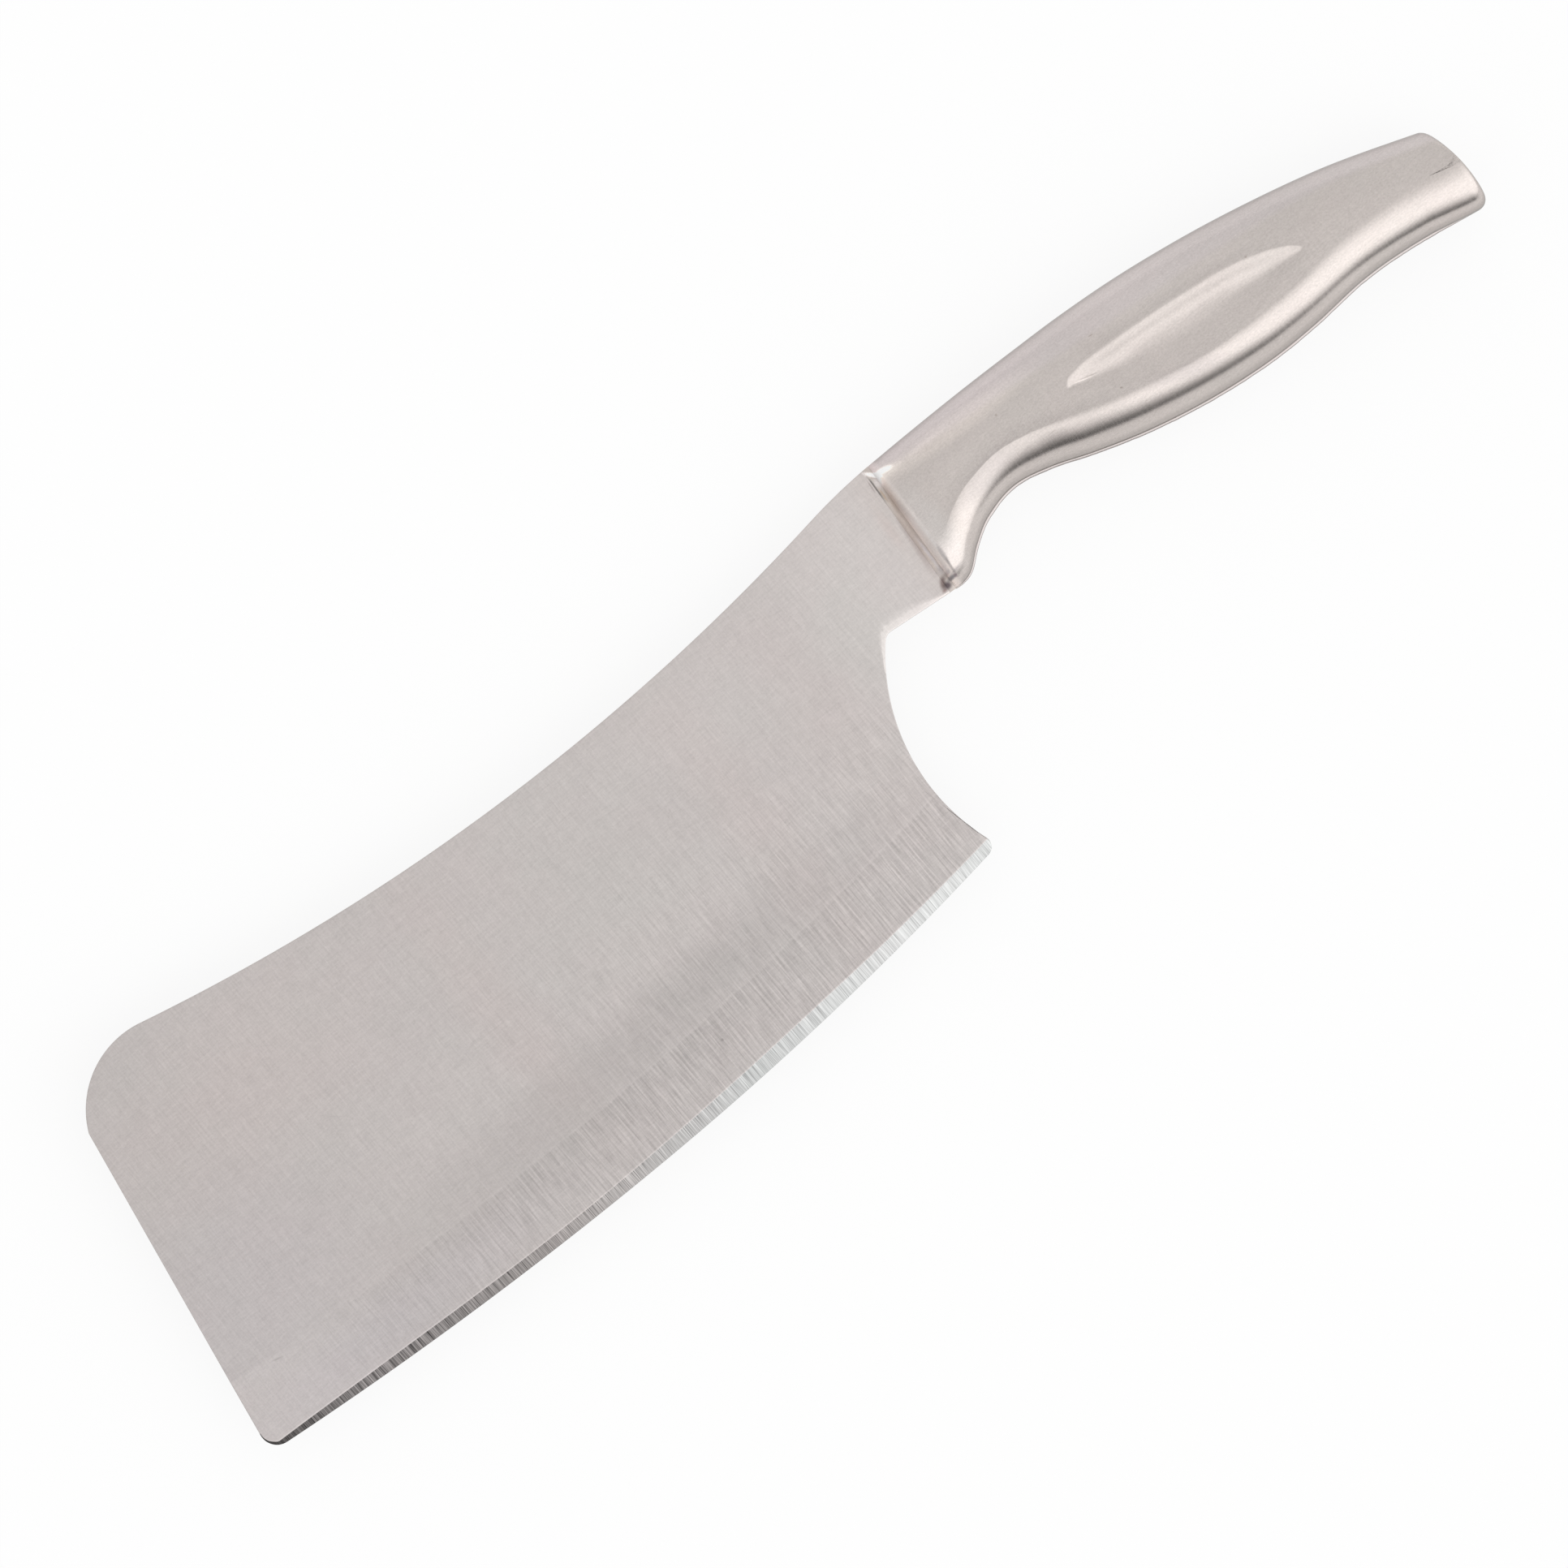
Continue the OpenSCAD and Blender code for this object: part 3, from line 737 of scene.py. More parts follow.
    def ease_at(self, lower: np.ndarray) -> np.ndarray:
        """Width share of the eased edge, which starts in the upper half of the finger curve.

        Args:
            lower: Points of the lower outline.

        Returns:
            The share beside each point.
        """
        near_neck = lower[:, 1] > self.choil_y + self.choil_r / 2
        return np.where(near_neck, np.interp(lower[:, 0], *np.array(self.ease_rows).T), 0.0)

    def columns(
        self, lower: np.ndarray, upper: np.ndarray, marks: np.ndarray
    ) -> tuple[np.ndarray, np.ndarray]:
        """Straight columns from the lower outline to the upper one, a rounding's width inside both.

        Some columns run from a mark on the lower outline to a set place on the upper one, and those
        between them share out the way evenly.

        Args:
            lower: Points of the lower outline.
            upper: Points of the upper outline.
            marks: Numbers of the lower points where one arc passes into the next.

        Returns:
            The foot and the top of each column.
        """
        lower_run, upper_run = lengths_along(lower), lengths_along(upper)
        on_edge = int(np.argmin(np.abs(lower[: marks[3], 0] - self.joined_edge_x)))
        on_choil = marks[4] + self.joined_choil_step
        joined = np.array([0, marks[1], on_edge, marks[4], on_choil, marks[5], len(lower) - 1])
        above_x = np.r_[upper[0, 0], self.joined_top_x, upper[-1, 0]]
        above_run = np.interp(above_x, upper[:, 0], upper_run)
        target = np.interp(lower_run, lower_run[joined], above_run)
        top = np.stack([np.interp(target, upper_run, upper[:, k]) for k in (0, 1)], 1)
        boundary_z = np.maximum(self.side_z(lower[:, 0], lower[:, 1]), self.edge_t / 2)
        inset = np.minimum(self.rounding, boundary_z / 2)[:, None]
        return lower + left_normals(lower) * inset, top - left_normals(top) * self.rounding

    def row_shares(
        self, foot: np.ndarray, top: np.ndarray, bevel: np.ndarray, ease: np.ndarray
    ) -> np.ndarray:
        """Where each row crosses the columns: beside the bevel, up the ground band, then shared out.

        A row at a wanted height above the edge is found in a few rounds, because the edge is curved,
        and stays a least gap above the row before it.

        Args:
            foot: The columns' feet.
            top: Their tops.
            bevel: Width of the bevel at each column.
            ease: Width share of the eased edge there.

        Returns:
            For each row, its share of the way up every column.
        """
        start, end = (points[:, 1] - self.edge_y(points[:, 0]) for points in (foot, top))
        way, span = top - foot, np.linalg.norm(top - foot, axis=1)
        wanted = np.concatenate([
            np.outer(self.bevel_row_shares, bevel),
            bevel + np.array(self.bevel_row_steps)[:, None],
            np.tile(np.array(self.row_heights)[:, None], len(foot)),
        ])
        gap = self.row_gap + self.row_gap_eased * np.clip(ease * self.row_gap_growth, 0, 1)
        shares = [np.zeros(len(foot))]
        for height in wanted:
            share = (height - start) / (end - start)
            for _ in range(self.row_rounds):
                at = foot + share[:, None] * way
                share = share + (height - (at[:, 1] - self.edge_y(at[:, 0]))) / (end - start)
            shares.append(np.maximum(share, shares[-1] + gap / span))
        band_top, last = shares[-1], 1 - self.last_row_gap / span
        for share in np.linspace(0, 1, self.upper_rows + 2)[1:-1]:
            shares.append(band_top + (last - band_top) * share)
        return np.stack(shares + [last, np.ones(len(foot))])

    def rings(self, border: np.ndarray) -> list[np.ndarray]:
        """Rings from the left side's border to the right side's: a quarter round, a wall, a quarter round.

        Args:
            border: The left side's border points, in order round the plate.

        Returns:
            The rings' points, from left to right.
        """
        way = np.roll(border[:, :2], -1, 0) - np.roll(border[:, :2], 1, 0)
        way /= np.maximum(np.linalg.norm(way, axis=1, keepdims=True), TINY)
        outward = np.stack([way[:, 1], -way[:, 0]], 1)
        radius = np.minimum(self.rounding, border[:, 2] / 2)
        rings = []
        for turn in np.radians(self.rounding_turns):
            plan = border[:, :2] + outward * (radius * math.sin(turn))[:, None]
            height = border[:, 2] - radius * (1 - math.cos(turn))
            rings.append(np.concatenate([plan, height[:, None]], 1))
        return rings + [ring * MIRROR for ring in rings[::-1]]

    def skin(self) -> Skin:
        """The whole plate as one closed skin: a side, the rings round its border, and the other side.

        Returns:
            The skin, with each point's distance from the edge, from the bevel's upper line, and its
            share of the eased edge's depth.
        """
        lower, upper, marks = self.outlines()
        foot, top = self.columns(lower, upper, marks)
        ease = self.ease_at(lower)
        shares = self.row_shares(foot, top, self.bevel_at(lower[:, 0]), ease)
        plan = foot[None] + shares[..., None] * (top - foot)[None]
        inward = shares * np.linalg.norm(top - foot, axis=1)[None]
        cut = np.clip(1 - inward / np.maximum(self.ease_w * ease, TINY)[None], 0, 1) ** self.ease_power
        eased_z = self.blade_t / 2 - self.ease_depth * np.sqrt(ease)[None] * cut
        z = np.minimum(self.side_z(plan[..., 0], plan[..., 1]), eased_z)
        rows, columns = shares.shape
        count = rows * columns
        left = np.concatenate([plan, z[..., None]], -1).reshape(-1, 3)
        numbers = np.arange(count).reshape(rows, columns)
        loop = np.r_[numbers[0], numbers[1:, -1], numbers[-1, -2::-1], numbers[-2:0:-1, 0]]
        rings = self.rings(left[loop])
        right_first = count + len(rings) * len(loop)
        circles = [count + k * len(loop) + np.arange(len(loop)) for k in range(len(rings))]
        circles = [loop, *circles, right_first + loop]
        faces = [
            grid_quads(rows, columns, 0, flip=True),
            grid_quads(rows, columns, right_first),
            *[band_quads(b, a, closed=True) for a, b in zip(circles[:-1], circles[1:])],
        ]
        edge = left[:, 1] - self.edge_y(left[:, 0])
        tip_facet = np.interp(lower[:, 0], *np.array(self.tip_facet_rows).T)
        tip_facet[marks[1] :] = -self.blade_h
        bevel = np.minimum(edge - self.bevel_at(left[:, 0]), (inward - tip_facet).ravel())
        side = {"edge_mm": edge, "bevel_mm": bevel, "eased": (cut * (ease > 0)[None]).ravel()}
        attributes = {
            name: np.concatenate([values] + [values[loop]] * len(rings) + [values])
            for name, values in side.items()
        }
        return Skin(np.concatenate([left, *rings, left * MIRROR]), faces, attributes)

    def build(self, finishes: "Finishes") -> None:
        """Builds the blade and dresses it.

        Args:
            finishes: The knife's materials.
        """
        piece = self.skin().piece("blade_plate", "blade", "blade_steel", finishes.of(Zone.BLADE))
        weights = piece.modifiers.new("flat_sides", "WEIGHTED_NORMAL")
        weights.weight = self.smoothing_weight


# Handle


@dataclass
class HandleShells:
    """The two pressed halves of the handle."""

    section_steps: tuple[int, ...] = (40, 24, 20, 14, 40)
    stretches: Rows = ((38.0, 0.6), (46.0, 0.25), (78.0, 0.7), (88.0, 0.25), (115.0, 0.6))
    corner_points: int = 16
    wall_rings: int = 7
    # Stands for a distance at which no look changes
    far: float = 9.0

    def stations(self) -> np.ndarray:
        """Places along the handle: close together at the front wall, the dimple's tips and the end.

        Returns:
            The places, from the weld line on.
        """
        form = FORM
        turns = np.radians(np.linspace(0, 90, self.corner_points))
        start = form.neck_weld_l + form.front_run
        places = [start - form.front_run * np.cos(turns)]
        for stop, step in self.stretches:
            stop = min(stop, form.handle_l - form.butt_corner_r)
            count = max(round((stop - start) / step), 1)
            places.append(np.linspace(start, stop, count + 1)[1:])
            start = stop
        return np.concatenate(places + [form.handle_l - form.butt_corner_r * (1 - np.sin(turns[1:]))])

    def end_wall(
        self, ring: np.ndarray, numbers: np.ndarray, first: int, inset: float, at_butt: bool, turned: bool
    ) -> tuple[np.ndarray, list[np.ndarray], np.ndarray]:
        """The wall across one end of a skin: its end row, shrunk in rings to a point on the rim.

        Args:
            ring: Points of the skin's end row.
            numbers: Their numbers.
            first: Number of the wall's first new point.
            inset: How far the skin lies inside the outer one.
            at_butt: True for the end of the handle, where the wall bows.
            turned: Turns the faces over.

        Returns:
            The new points, the faces, and the numbers of the points along the rim.
        """
        form, count = FORM, len(ring)
        butt = np.array(form.handle_l)
        middle = np.array([ring[[0, -1], 0].mean(), ring[[0, -1], 1].mean(), form.rim])
        if at_butt:
            middle[0] = form.station_x(butt, np.array(0.5)) - inset
        shares = np.linspace(1, 0, self.wall_rings + 2)[1:-1]
        inner_rings = [middle + (ring - middle) * share for share in shares]
        if at_butt:
            foot, top = ring[0, 1], ring[-1, 1]
            for inner in inner_rings:
                inner[:, 0] = form.station_x(butt, (inner[:, 1] - foot) / (top - foot)) - inset
        rows = [numbers] + [first + k * count + np.arange(count) for k in range(len(shares))]
        pole = first + len(shares) * count
        faces = [band_quads(a, b) for a, b in zip(rows[:-1], rows[1:])]
        if turned:
            faces = [quads[:, ::-1] for quads in faces]
        faces.append(fan(rows[-1], pole, turned))
        rim = np.array([row[0] for row in rows] + [pole] + [row[-1] for row in rows[::-1]])
        return np.concatenate([*inner_rings, middle[None]]), faces, rim

    def skin(self) -> Skin:
        """The left shell: outer skin, inner skin, both end walls of each, and the rim between them.

        Returns:
            The skin, with each outer point's distances from the lines that its finish follows.
        """
        form = FORM
        s = self.stations()
        v = form.section_v(s, self.section_steps)
        rows, columns = v.shape
        count = rows * columns
        sheets = [form.skin(s, v, inset).reshape(-1, 3) for inset in (0.0, form.wall)]
        faces = [grid_quads(rows, columns), grid_quads(rows, columns, count, flip=True)]
        points, rims, first = list(sheets), [], 2 * count
        for k, inset in enumerate((0.0, form.wall)):
            for row in (0, rows - 1):
                own = row * columns + np.arange(columns)
                at_butt = row > 0
                wall, wall_faces, rim = self.end_wall(
                    sheets[k][own], k * count + own, first, inset, at_butt, at_butt != (k > 0)
                )
                points.append(wall)
                faces += wall_faces
                rims.append(rim)
                first += len(wall)
        ends = np.arange(rows) * columns
        faces += [
            band_quads(rims[0], rims[2]),
            band_quads(rims[1], rims[3])[:, ::-1],
            band_quads(ends, ends + count)[:, ::-1],
            band_quads(ends + columns - 1, ends + count + columns - 1),
        ]
        every = np.concatenate(points)
        spare = np.full(len(every) - count, self.far)
        outer = self.distances(s, v)
        return Skin(every, faces, {name: np.r_[values.ravel(), spare] for name, values in outer.items()})

    def distances(self, s: np.ndarray, v: np.ndarray) -> dict[str, np.ndarray]:
        """How far the outer skin's points lie from the lines that the finish follows, in millimetres.

        Args:
            s: Places along the handle, one for each row.
            v: Heights in the section, one row for each place.

        Returns:
            Distances above the foot, below the top, in from the spine band, above the shoulder's
            crease, behind the weld line and below the dimple's upper edge, by attribute name.
        """
        form = FORM
        height = (form.top_y(s) - form.foot_y(s))[:, None]
        in_dimple = form.dimple_fullness(s)[:, None] > 0
        band = form.along(form.back_band, s)[:, None]
        return {
            "foot_mm": v * height,
            "top_mm": (1 - v) * height,
            "spine_mm": (1 - v) * height - band,
            "above_shoulder": v * height - form.shoulder_at(s)[1][:, None],
            "front_mm": (s - form.neck_weld_l)[:, None] + 0 * v,
            "dimple_mm": np.where(in_dimple, (form.crease_v(s)[:, None] - v) * height, -self.far),
        }

    def build(self, finishes: "Finishes") -> None:
        """Builds both shells and dresses them.

        Args:
            finishes: The knife's materials.
        """
        left, material = self.skin(), finishes.of(Zone.HANDLE)
        left.piece("handle_shell_left", "left_handle_shell", "handle_steel", material)
        left.mirrored().piece("handle_shell_right", "right_handle_shell", "handle_steel", material)


@dataclass
class SeamWelds:
    """The welds between the shells: ground flush on the spine and the end, proud along the belly."""

    steps: int = 420
    profile_steps: int = 10
    flush_dip: float = 0.02
    flush_wave: tuple[int, float] = (3, 17.0)
    proud_share: float = 0.93
    ripple: float = 0.05
    proud_wave: tuple[int, float] = (5, 6.0)
    run_points: int = 10
    corner_points: int = 20
    face_points: int = 60

    def profile(self) -> np.ndarray:
        """Places across the weld, from one rim to the other, as shares of its half width."""
        return -np.cos(np.linspace(0, math.pi, self.profile_steps + 1))

    def sweep(self, outer: np.ndarray, inner: np.ndarray, rise: np.ndarray, flip: bool = False) -> Skin:
        """A weld along a path.

        Args:
            outer: Points of the path at the shells' outer edge, in plan.
            inner: The same at their inner edge.
            rise: How far the middle of the weld stands out, one value a point.
            flip: Turns the faces over.

        Returns:
            A closed skin whose section is a crowned strip: the rise times a half circle across.
        """
        across = self.profile()
        outward = outer - inner
        outward /= np.maximum(np.linalg.norm(outward, axis=1, keepdims=True), TINY)
        bulge = np.sqrt(np.clip(1 - across**2, 0, 1))
        crest = outer[:, None] + outward[:, None] * (rise[:, None] * bulge[None])[..., None]
        z = np.broadcast_to(across * FORM.rim, crest.shape[:2])
        top = np.concatenate([crest, z[..., None]], -1)
        under = np.concatenate([np.broadcast_to(inner[:, None], crest.shape), z[..., None]], -1)
        rings = np.concatenate([top, under[:, ::-1]], 1)
        rows, columns = rings.shape[:2]
        first = rows * columns
        numbers = np.arange(first).reshape(rows, columns)
        points = np.concatenate([rings.reshape(-1, 3), rings[[0, -1]].mean(1)])
        start, end = np.r_[numbers[0], numbers[0, 0]], np.r_[numbers[-1], numbers[-1, 0]]
        faces = [
            *[band_quads(a, b, closed=True) for a, b in zip(numbers[:-1], numbers[1:])],
            fan(start, first, flip=True),
            fan(end, first + 1),
        ]
        if flip:
            faces = [each[:, ::-1] for each in faces]
        section = np.concatenate([bulge, np.zeros(len(bulge))])
        return Skin(points, faces, {"crest": np.r_[np.tile(section, rows), 0.0, 0.0]})

    @staticmethod
    def edges(s: np.ndarray) -> tuple[np.ndarray, np.ndarray]:
        """The shells' edges beside the seams, in plan.

        Args:
            s: Places along the handle.

        Returns:
            Outer and inner edges, each with a row for each place, of a belly point and a spine point.
        """
        ends = np.stack([np.zeros_like(s), np.ones_like(s)], 1)
        return FORM.skin(s, ends)[..., :2], FORM.skin(s, ends, FORM.wall)[..., :2]

    def build(self, finishes: "Finishes") -> None:
        """Builds the three seam welds and dresses them.

        Args:
            finishes: The knife's materials.
        """
        form, material = FORM, finishes.of(Zone.SEAM)
        seam_end = form.seam_end_share * form.handle_l
        s = np.linspace(form.neck_weld_l, seam_end, self.steps)
        outer, inner = self.edges(s)
        inner[..., 0] = outer[..., 0]
        flush = self.flush_dip * np.clip(waver(s, *self.flush_wave), -1, 0)
        spine = self.sweep(outer[:, 1], inner[:, 1], flush)
        spine.piece("seam_weld_spine", "spine_seam_weld", "weld_steel", material)
        proud = form.bead_rise(s) * (self.proud_share + self.ripple * waver(s, *self.proud_wave))
        belly = self.sweep(outer[:, 0], inner[:, 0], proud, flip=True)
        belly.piece("seam_weld_belly", "belly_seam_weld", "weld_steel", material)
        self.end_weld(seam_end).piece("seam_weld_butt", "butt_seam_weld", "weld_steel", material)

    def end_weld(self, seam_end: float) -> Skin:
        """The weld round the end, from the belly seam over the end face to the spine seam.

        Args:
            seam_end: Where the two long seams stop.

        Returns:
            The weld's skin.
        """
        form = FORM
        turn = np.sin(np.radians(np.linspace(0, 90, self.corner_points)))
        corner_start = form.handle_l - form.butt_corner_r
        corner = form.handle_l - form.butt_corner_r * (1 - turn)
        outer, inner = self.edges(np.r_[np.linspace(seam_end, corner_start, self.run_points)[:-1], corner])
        last, v = np.array([form.handle_l]), np.linspace(0, 1, self.face_points)[None]
        face, inner_face = form.skin(last, v)[0, :, :2], form.skin(last, v, form.wall)[0, :, :2]
        path = np.concatenate([outer[:, 0], face[1:-1], outer[::-1, 1]])
        under = np.concatenate([inner[:, 0], inner_face[1:-1], inner[::-1, 1]])
        return self.sweep(path, under, np.zeros(len(path)), flip=True)


@dataclass
class NeckWelds:
    """The concave beads that climb from the blade's sides to the shells."""

    turn_steps: int = 18
    ripple: float = 0.12
    calm_ends: float = 12.0
    slow_wave: tuple[int, float] = (11, 9.0)
    quick_wave: tuple[int, float] = (12, 2.6)
    quick_share: float = 0.5
    quick_slant: float = 4.0
    tang_inset: float = 2.5
    tang_step: float = 0.2

    def skin(self) -> Skin:
        """The left bead: its surface, and the faces round the tang.

        The bead is a quarter circle from the blade's side up to the shell's front, with a ripple.

        Returns:
            The skin, with each point's share of the climb and of the neck's height.
        """
        form = FORM
        turns = np.radians(np.linspace(0, 90, self.turn_steps))
        s, share = form.neck_weld_l * np.sin(turns), 1 - np.cos(turns)
        start = np.array([form.neck_weld_l])
        v = form.section_v(start, HandleShells().section_steps)
        shell = form.skin(start, v)[0]
        half = form.blade_t / 2
        foot, top = form.belly_y(s)[:, None], form.spine_y(s + form.lean_run)[:, None]
        y = foot + v * (top - foot)
        hump = np.sin(math.pi * np.clip(share, 0, 1))[:, None]
        away = np.clip(np.minimum(v, 1 - v) * self.calm_ends, 0, 1)
        quick = waver(y + self.quick_slant * s[:, None], *self.quick_wave)
        wave = waver(y, *self.slow_wave) + self.quick_share * quick
        z = half + share[:, None] * (shell[None, :, 2] - half) + self.ripple * hump * away * wave
        x = form.junction_x + s[:, None] + form.lean_run * v
        outside = self.closed_rows(np.stack([x, y, z], -1))
        tang_foot = float(form.belly_y(np.array(0.0))) + self.tang_inset
        tang_top = float(form.spine_y(np.array(0.0))) - self.tang_inset
        inner_y = np.broadcast_to(tang_foot + v * (tang_top - tang_foot), y.shape)
        inner_x = form.junction_x + s[:, None] + form.lean_run * (inner_y - foot) / (top - foot)
        inner_z = np.full_like(inner_y, half - self.tang_step)
        inside = self.closed_rows(np.stack([inner_x, inner_y, inner_z], -1))
        rows, columns = outside.shape[:2]
        count = rows * columns
        points = np.concatenate([outside.reshape(-1, 3), inside.reshape(-1, 3)])
        first_row, last_row = np.arange(columns), count - columns + np.arange(columns)
        ends = np.arange(rows) * columns
        faces = [
            grid_quads(rows, columns),
            grid_quads(rows, columns, count, flip=True),
            band_quads(first_row, first_row + count),
            band_quads(last_row, last_row + count)[:, ::-1],
            band_quads(ends, ends + count)[:, ::-1],
            band_quads(ends + columns - 1, ends + columns - 1 + count),
        ]
        climb = np.tile(np.repeat(share, columns), 2)
        up = (points[:, 1] - float(foot.min())) / float(top.max() - foot.min())
        return Skin(points, faces, {"climb": climb, "up": up})

    @staticmethod
    def closed_rows(grid: np.ndarray) -> np.ndarray:
        """The rows with a point on the middle plane added at both ends."""
        flat = np.array([1, 1, 0])
        return np.concatenate([grid[:, :1] * flat, grid, grid[:, -1:] * flat], 1)

    def build(self, finishes: "Finishes") -> None:
        """Builds both beads and dresses them.

        Args:
            finishes: The knife's materials.
        """
        left, material = self.skin(), finishes.of(Zone.NECK_WELD)
        left.piece("neck_weld_left", "left_neck_weld", "tinted_weld_steel", material)
        left.mirrored().piece("neck_weld_right", "right_neck_weld", "tinted_weld_steel", material)


# Finishes


@dataclass(frozen=True)
class Noise:
    """A noise pattern: its waves per millimetre along X, Y and Z, its detail and its roughness."""

    stretch: tuple[float, float, float]
    detail: float = 1.0
    roughness: float = 0.5


class Graph:
    """A node tree with short calls for adding and joining nodes."""

    def __init__(self, tree: bpy.types.NodeTree) -> None:
        """Keeps the tree."""
        self.tree = tree

    def add(self, kind: str, **settings: object) -> bpy.types.Node:
        """Adds a node.

        Args:
            kind: Its type.
            settings: Its properties.

        Returns:
            The node.
        """
        node = self.tree.nodes.new(kind)
        for name, value in settings.items():
            setattr(node, name, value)
        return node

    def feed(self, socket: Socket, value: object) -> None:
        """Joins an input to another socket, or sets its value.

        Args:
            socket: The input.
            value: The socket to join it to, or its value.
        """
        if isinstance(value, Socket):
            self.tree.links.new(value, socket)
        else:
            socket.default_value = value

    def result(self, kind: str, values: dict, output: int | str = 0, **settings: object) -> Socket:
        """What a new node puts out.

        Args:
            kind: The node's type.
            values: What each of its inputs gets, by number or name.
            output: The output's number or name.
            settings: The node's properties.

        Returns:
            The output.
        """
        node = self.add(kind, **settings)
        for name, value in values.items():
            self.feed(node.inputs[name], value)
        return node.outputs[output]

    def math(self, operation: str, *values: object, clamp: bool = False) -> Socket:
        """A Math node's result."""
        return self.result("ShaderNodeMath", dict(enumerate(values)), operation=operation, use_clamp=clamp)

    def vector(self, operation: str, *values: object) -> Socket:
        """A Vector Math node's vector."""
        return self.result("ShaderNodeVectorMath", dict(enumerate(values)), operation=operation)

    def product(self, first: object, *others: object) -> Socket:
        """Values multiplied together, such as masks that all have to hold.

        Args:
            first: A socket or a number.
            others: More of them.

        Returns:
            Their product.
        """
        for other in others:
            first = self.math("MULTIPLY", first, other)
        return first

    def noise(self, place: object, pattern: Noise) -> Socket:
        """A noise pattern's value at a place.

        Args:
            place: The place, in millimetres.
            pattern: The pattern.

        Returns:
            The value, about a half on average.
        """
        stretched = self.vector("MULTIPLY", place, pattern.stretch)
        values = {"Vector": stretched, "Detail": pattern.detail, "Roughness": pattern.roughness}
        return self.result("ShaderNodeTexNoise", values | {"Scale": 1.0}, noise_dimensions="3D")

    def uneven(self, place: object, pattern: Noise) -> Socket:
        """A noise pattern's value about zero."""
        return self.math("SUBTRACT", self.noise(place, pattern), 0.5)

    def ramp(
        self, value: object, low: object, high: object, start: object = 0.0, end: object = 1.0
    ) -> Socket:
        """A smooth step of a value, from one level before a limit to another after a second limit."""
        values = dict(enumerate((value, low, high, start, end)))
        return self.result("ShaderNodeMapRange", values, interpolation_type="SMOOTHSTEP", clamp=True)

    def mix(self, share: object, first: object, second: object) -> Socket:
        """A mix of two colours."""
        return self.result("ShaderNodeMix", {0: share, 6: first, 7: second}, 2, data_type="RGBA")

    def blend(self, share: object, first: object, second: object) -> Socket:
        """A mix of two numbers."""
        return self.result("ShaderNodeMix", {0: share, 2: first, 3: second}, data_type="FLOAT")

    def tinted(self, colour: object, mask: object, factor: Colour) -> Socket:
        """A colour times another colour where a mask is 1."""
        values = {0: mask, 6: colour, 7: (*factor, 1)}
        return self.result("ShaderNodeMix", values, 2, data_type="RGBA", blend_type="MULTIPLY")

    def split(self, place: object) -> list[Socket]:
        """The three coordinates of a place.

        Args:
            place: The place.

        Returns:
            Its X, Y and Z.
        """
        node = self.add("ShaderNodeSeparateXYZ")
        self.feed(node.inputs[0], place)
        return list(node.outputs)

    def turned(self, place: object, angle: object) -> Socket:
        """A place turned about the Z axis."""
        values = {"Vector": place, "Angle": angle}
        return self.result("ShaderNodeVectorRotate", values, rotation_type="Z_AXIS")

    def tones(self, value: object, rows: Rows) -> Socket:
        """A curve through a few rows of place and tone, straight between rows and level past its ends.

        Args:
            value: Where to read it.
            rows: Places and tones, in order of place.

        Returns:
            The tone.
        """
        low, high = rows[0][0], rows[-1][0]
        share = self.result("ShaderNodeMapRange", dict(enumerate((value, low, high))), clamp=True)
        node = self.add("ShaderNodeFloatCurve")
        self.feed(node.inputs["Value"], share)
        curve = node.mapping.curves[0]
        node.mapping.use_clip = False
        while len(curve.points) < len(rows):
            curve.points.new(0.5, 0.5)
        for point, (place, tone) in zip(curve.points, rows):
            point.location = ((place - low) / (high - low), tone)
            point.handle_type = "VECTOR"
        node.mapping.update()
        return node.outputs[0]

    def attribute(self, name: str) -> Socket:
        """A mesh attribute's value."""
        return self.result("ShaderNodeAttribute", {}, "Fac", attribute_name=name)


def new_group(name: str, inputs: dict[str, str], outputs: tuple[str, ...]) -> tuple[Graph, object, object]:
    """Starts a shader node group.

    Args:
        name: Its name.
        inputs: The kind of each input, Vector or Float, by name.
        outputs: The names of its outputs, which are values, apart from a vector named Place.

    Returns:
        Its graph, its inputs as the graph reads them, and the places where its results go.
    """
    tree = bpy.data.node_groups.new(name, "ShaderNodeTree")
    for label, kind in inputs.items():
        tree.interface.new_socket(name=label, in_out="INPUT", socket_type="NodeSocket" + kind)
    for label in outputs:
        kind = "Vector" if label == "Place" else "Float"
        tree.interface.new_socket(name=label, in_out="OUTPUT", socket_type="NodeSocket" + kind)
    graph = Graph(tree)
    return graph, graph.add("NodeGroupInput").outputs, graph.add("NodeGroupOutput").inputs


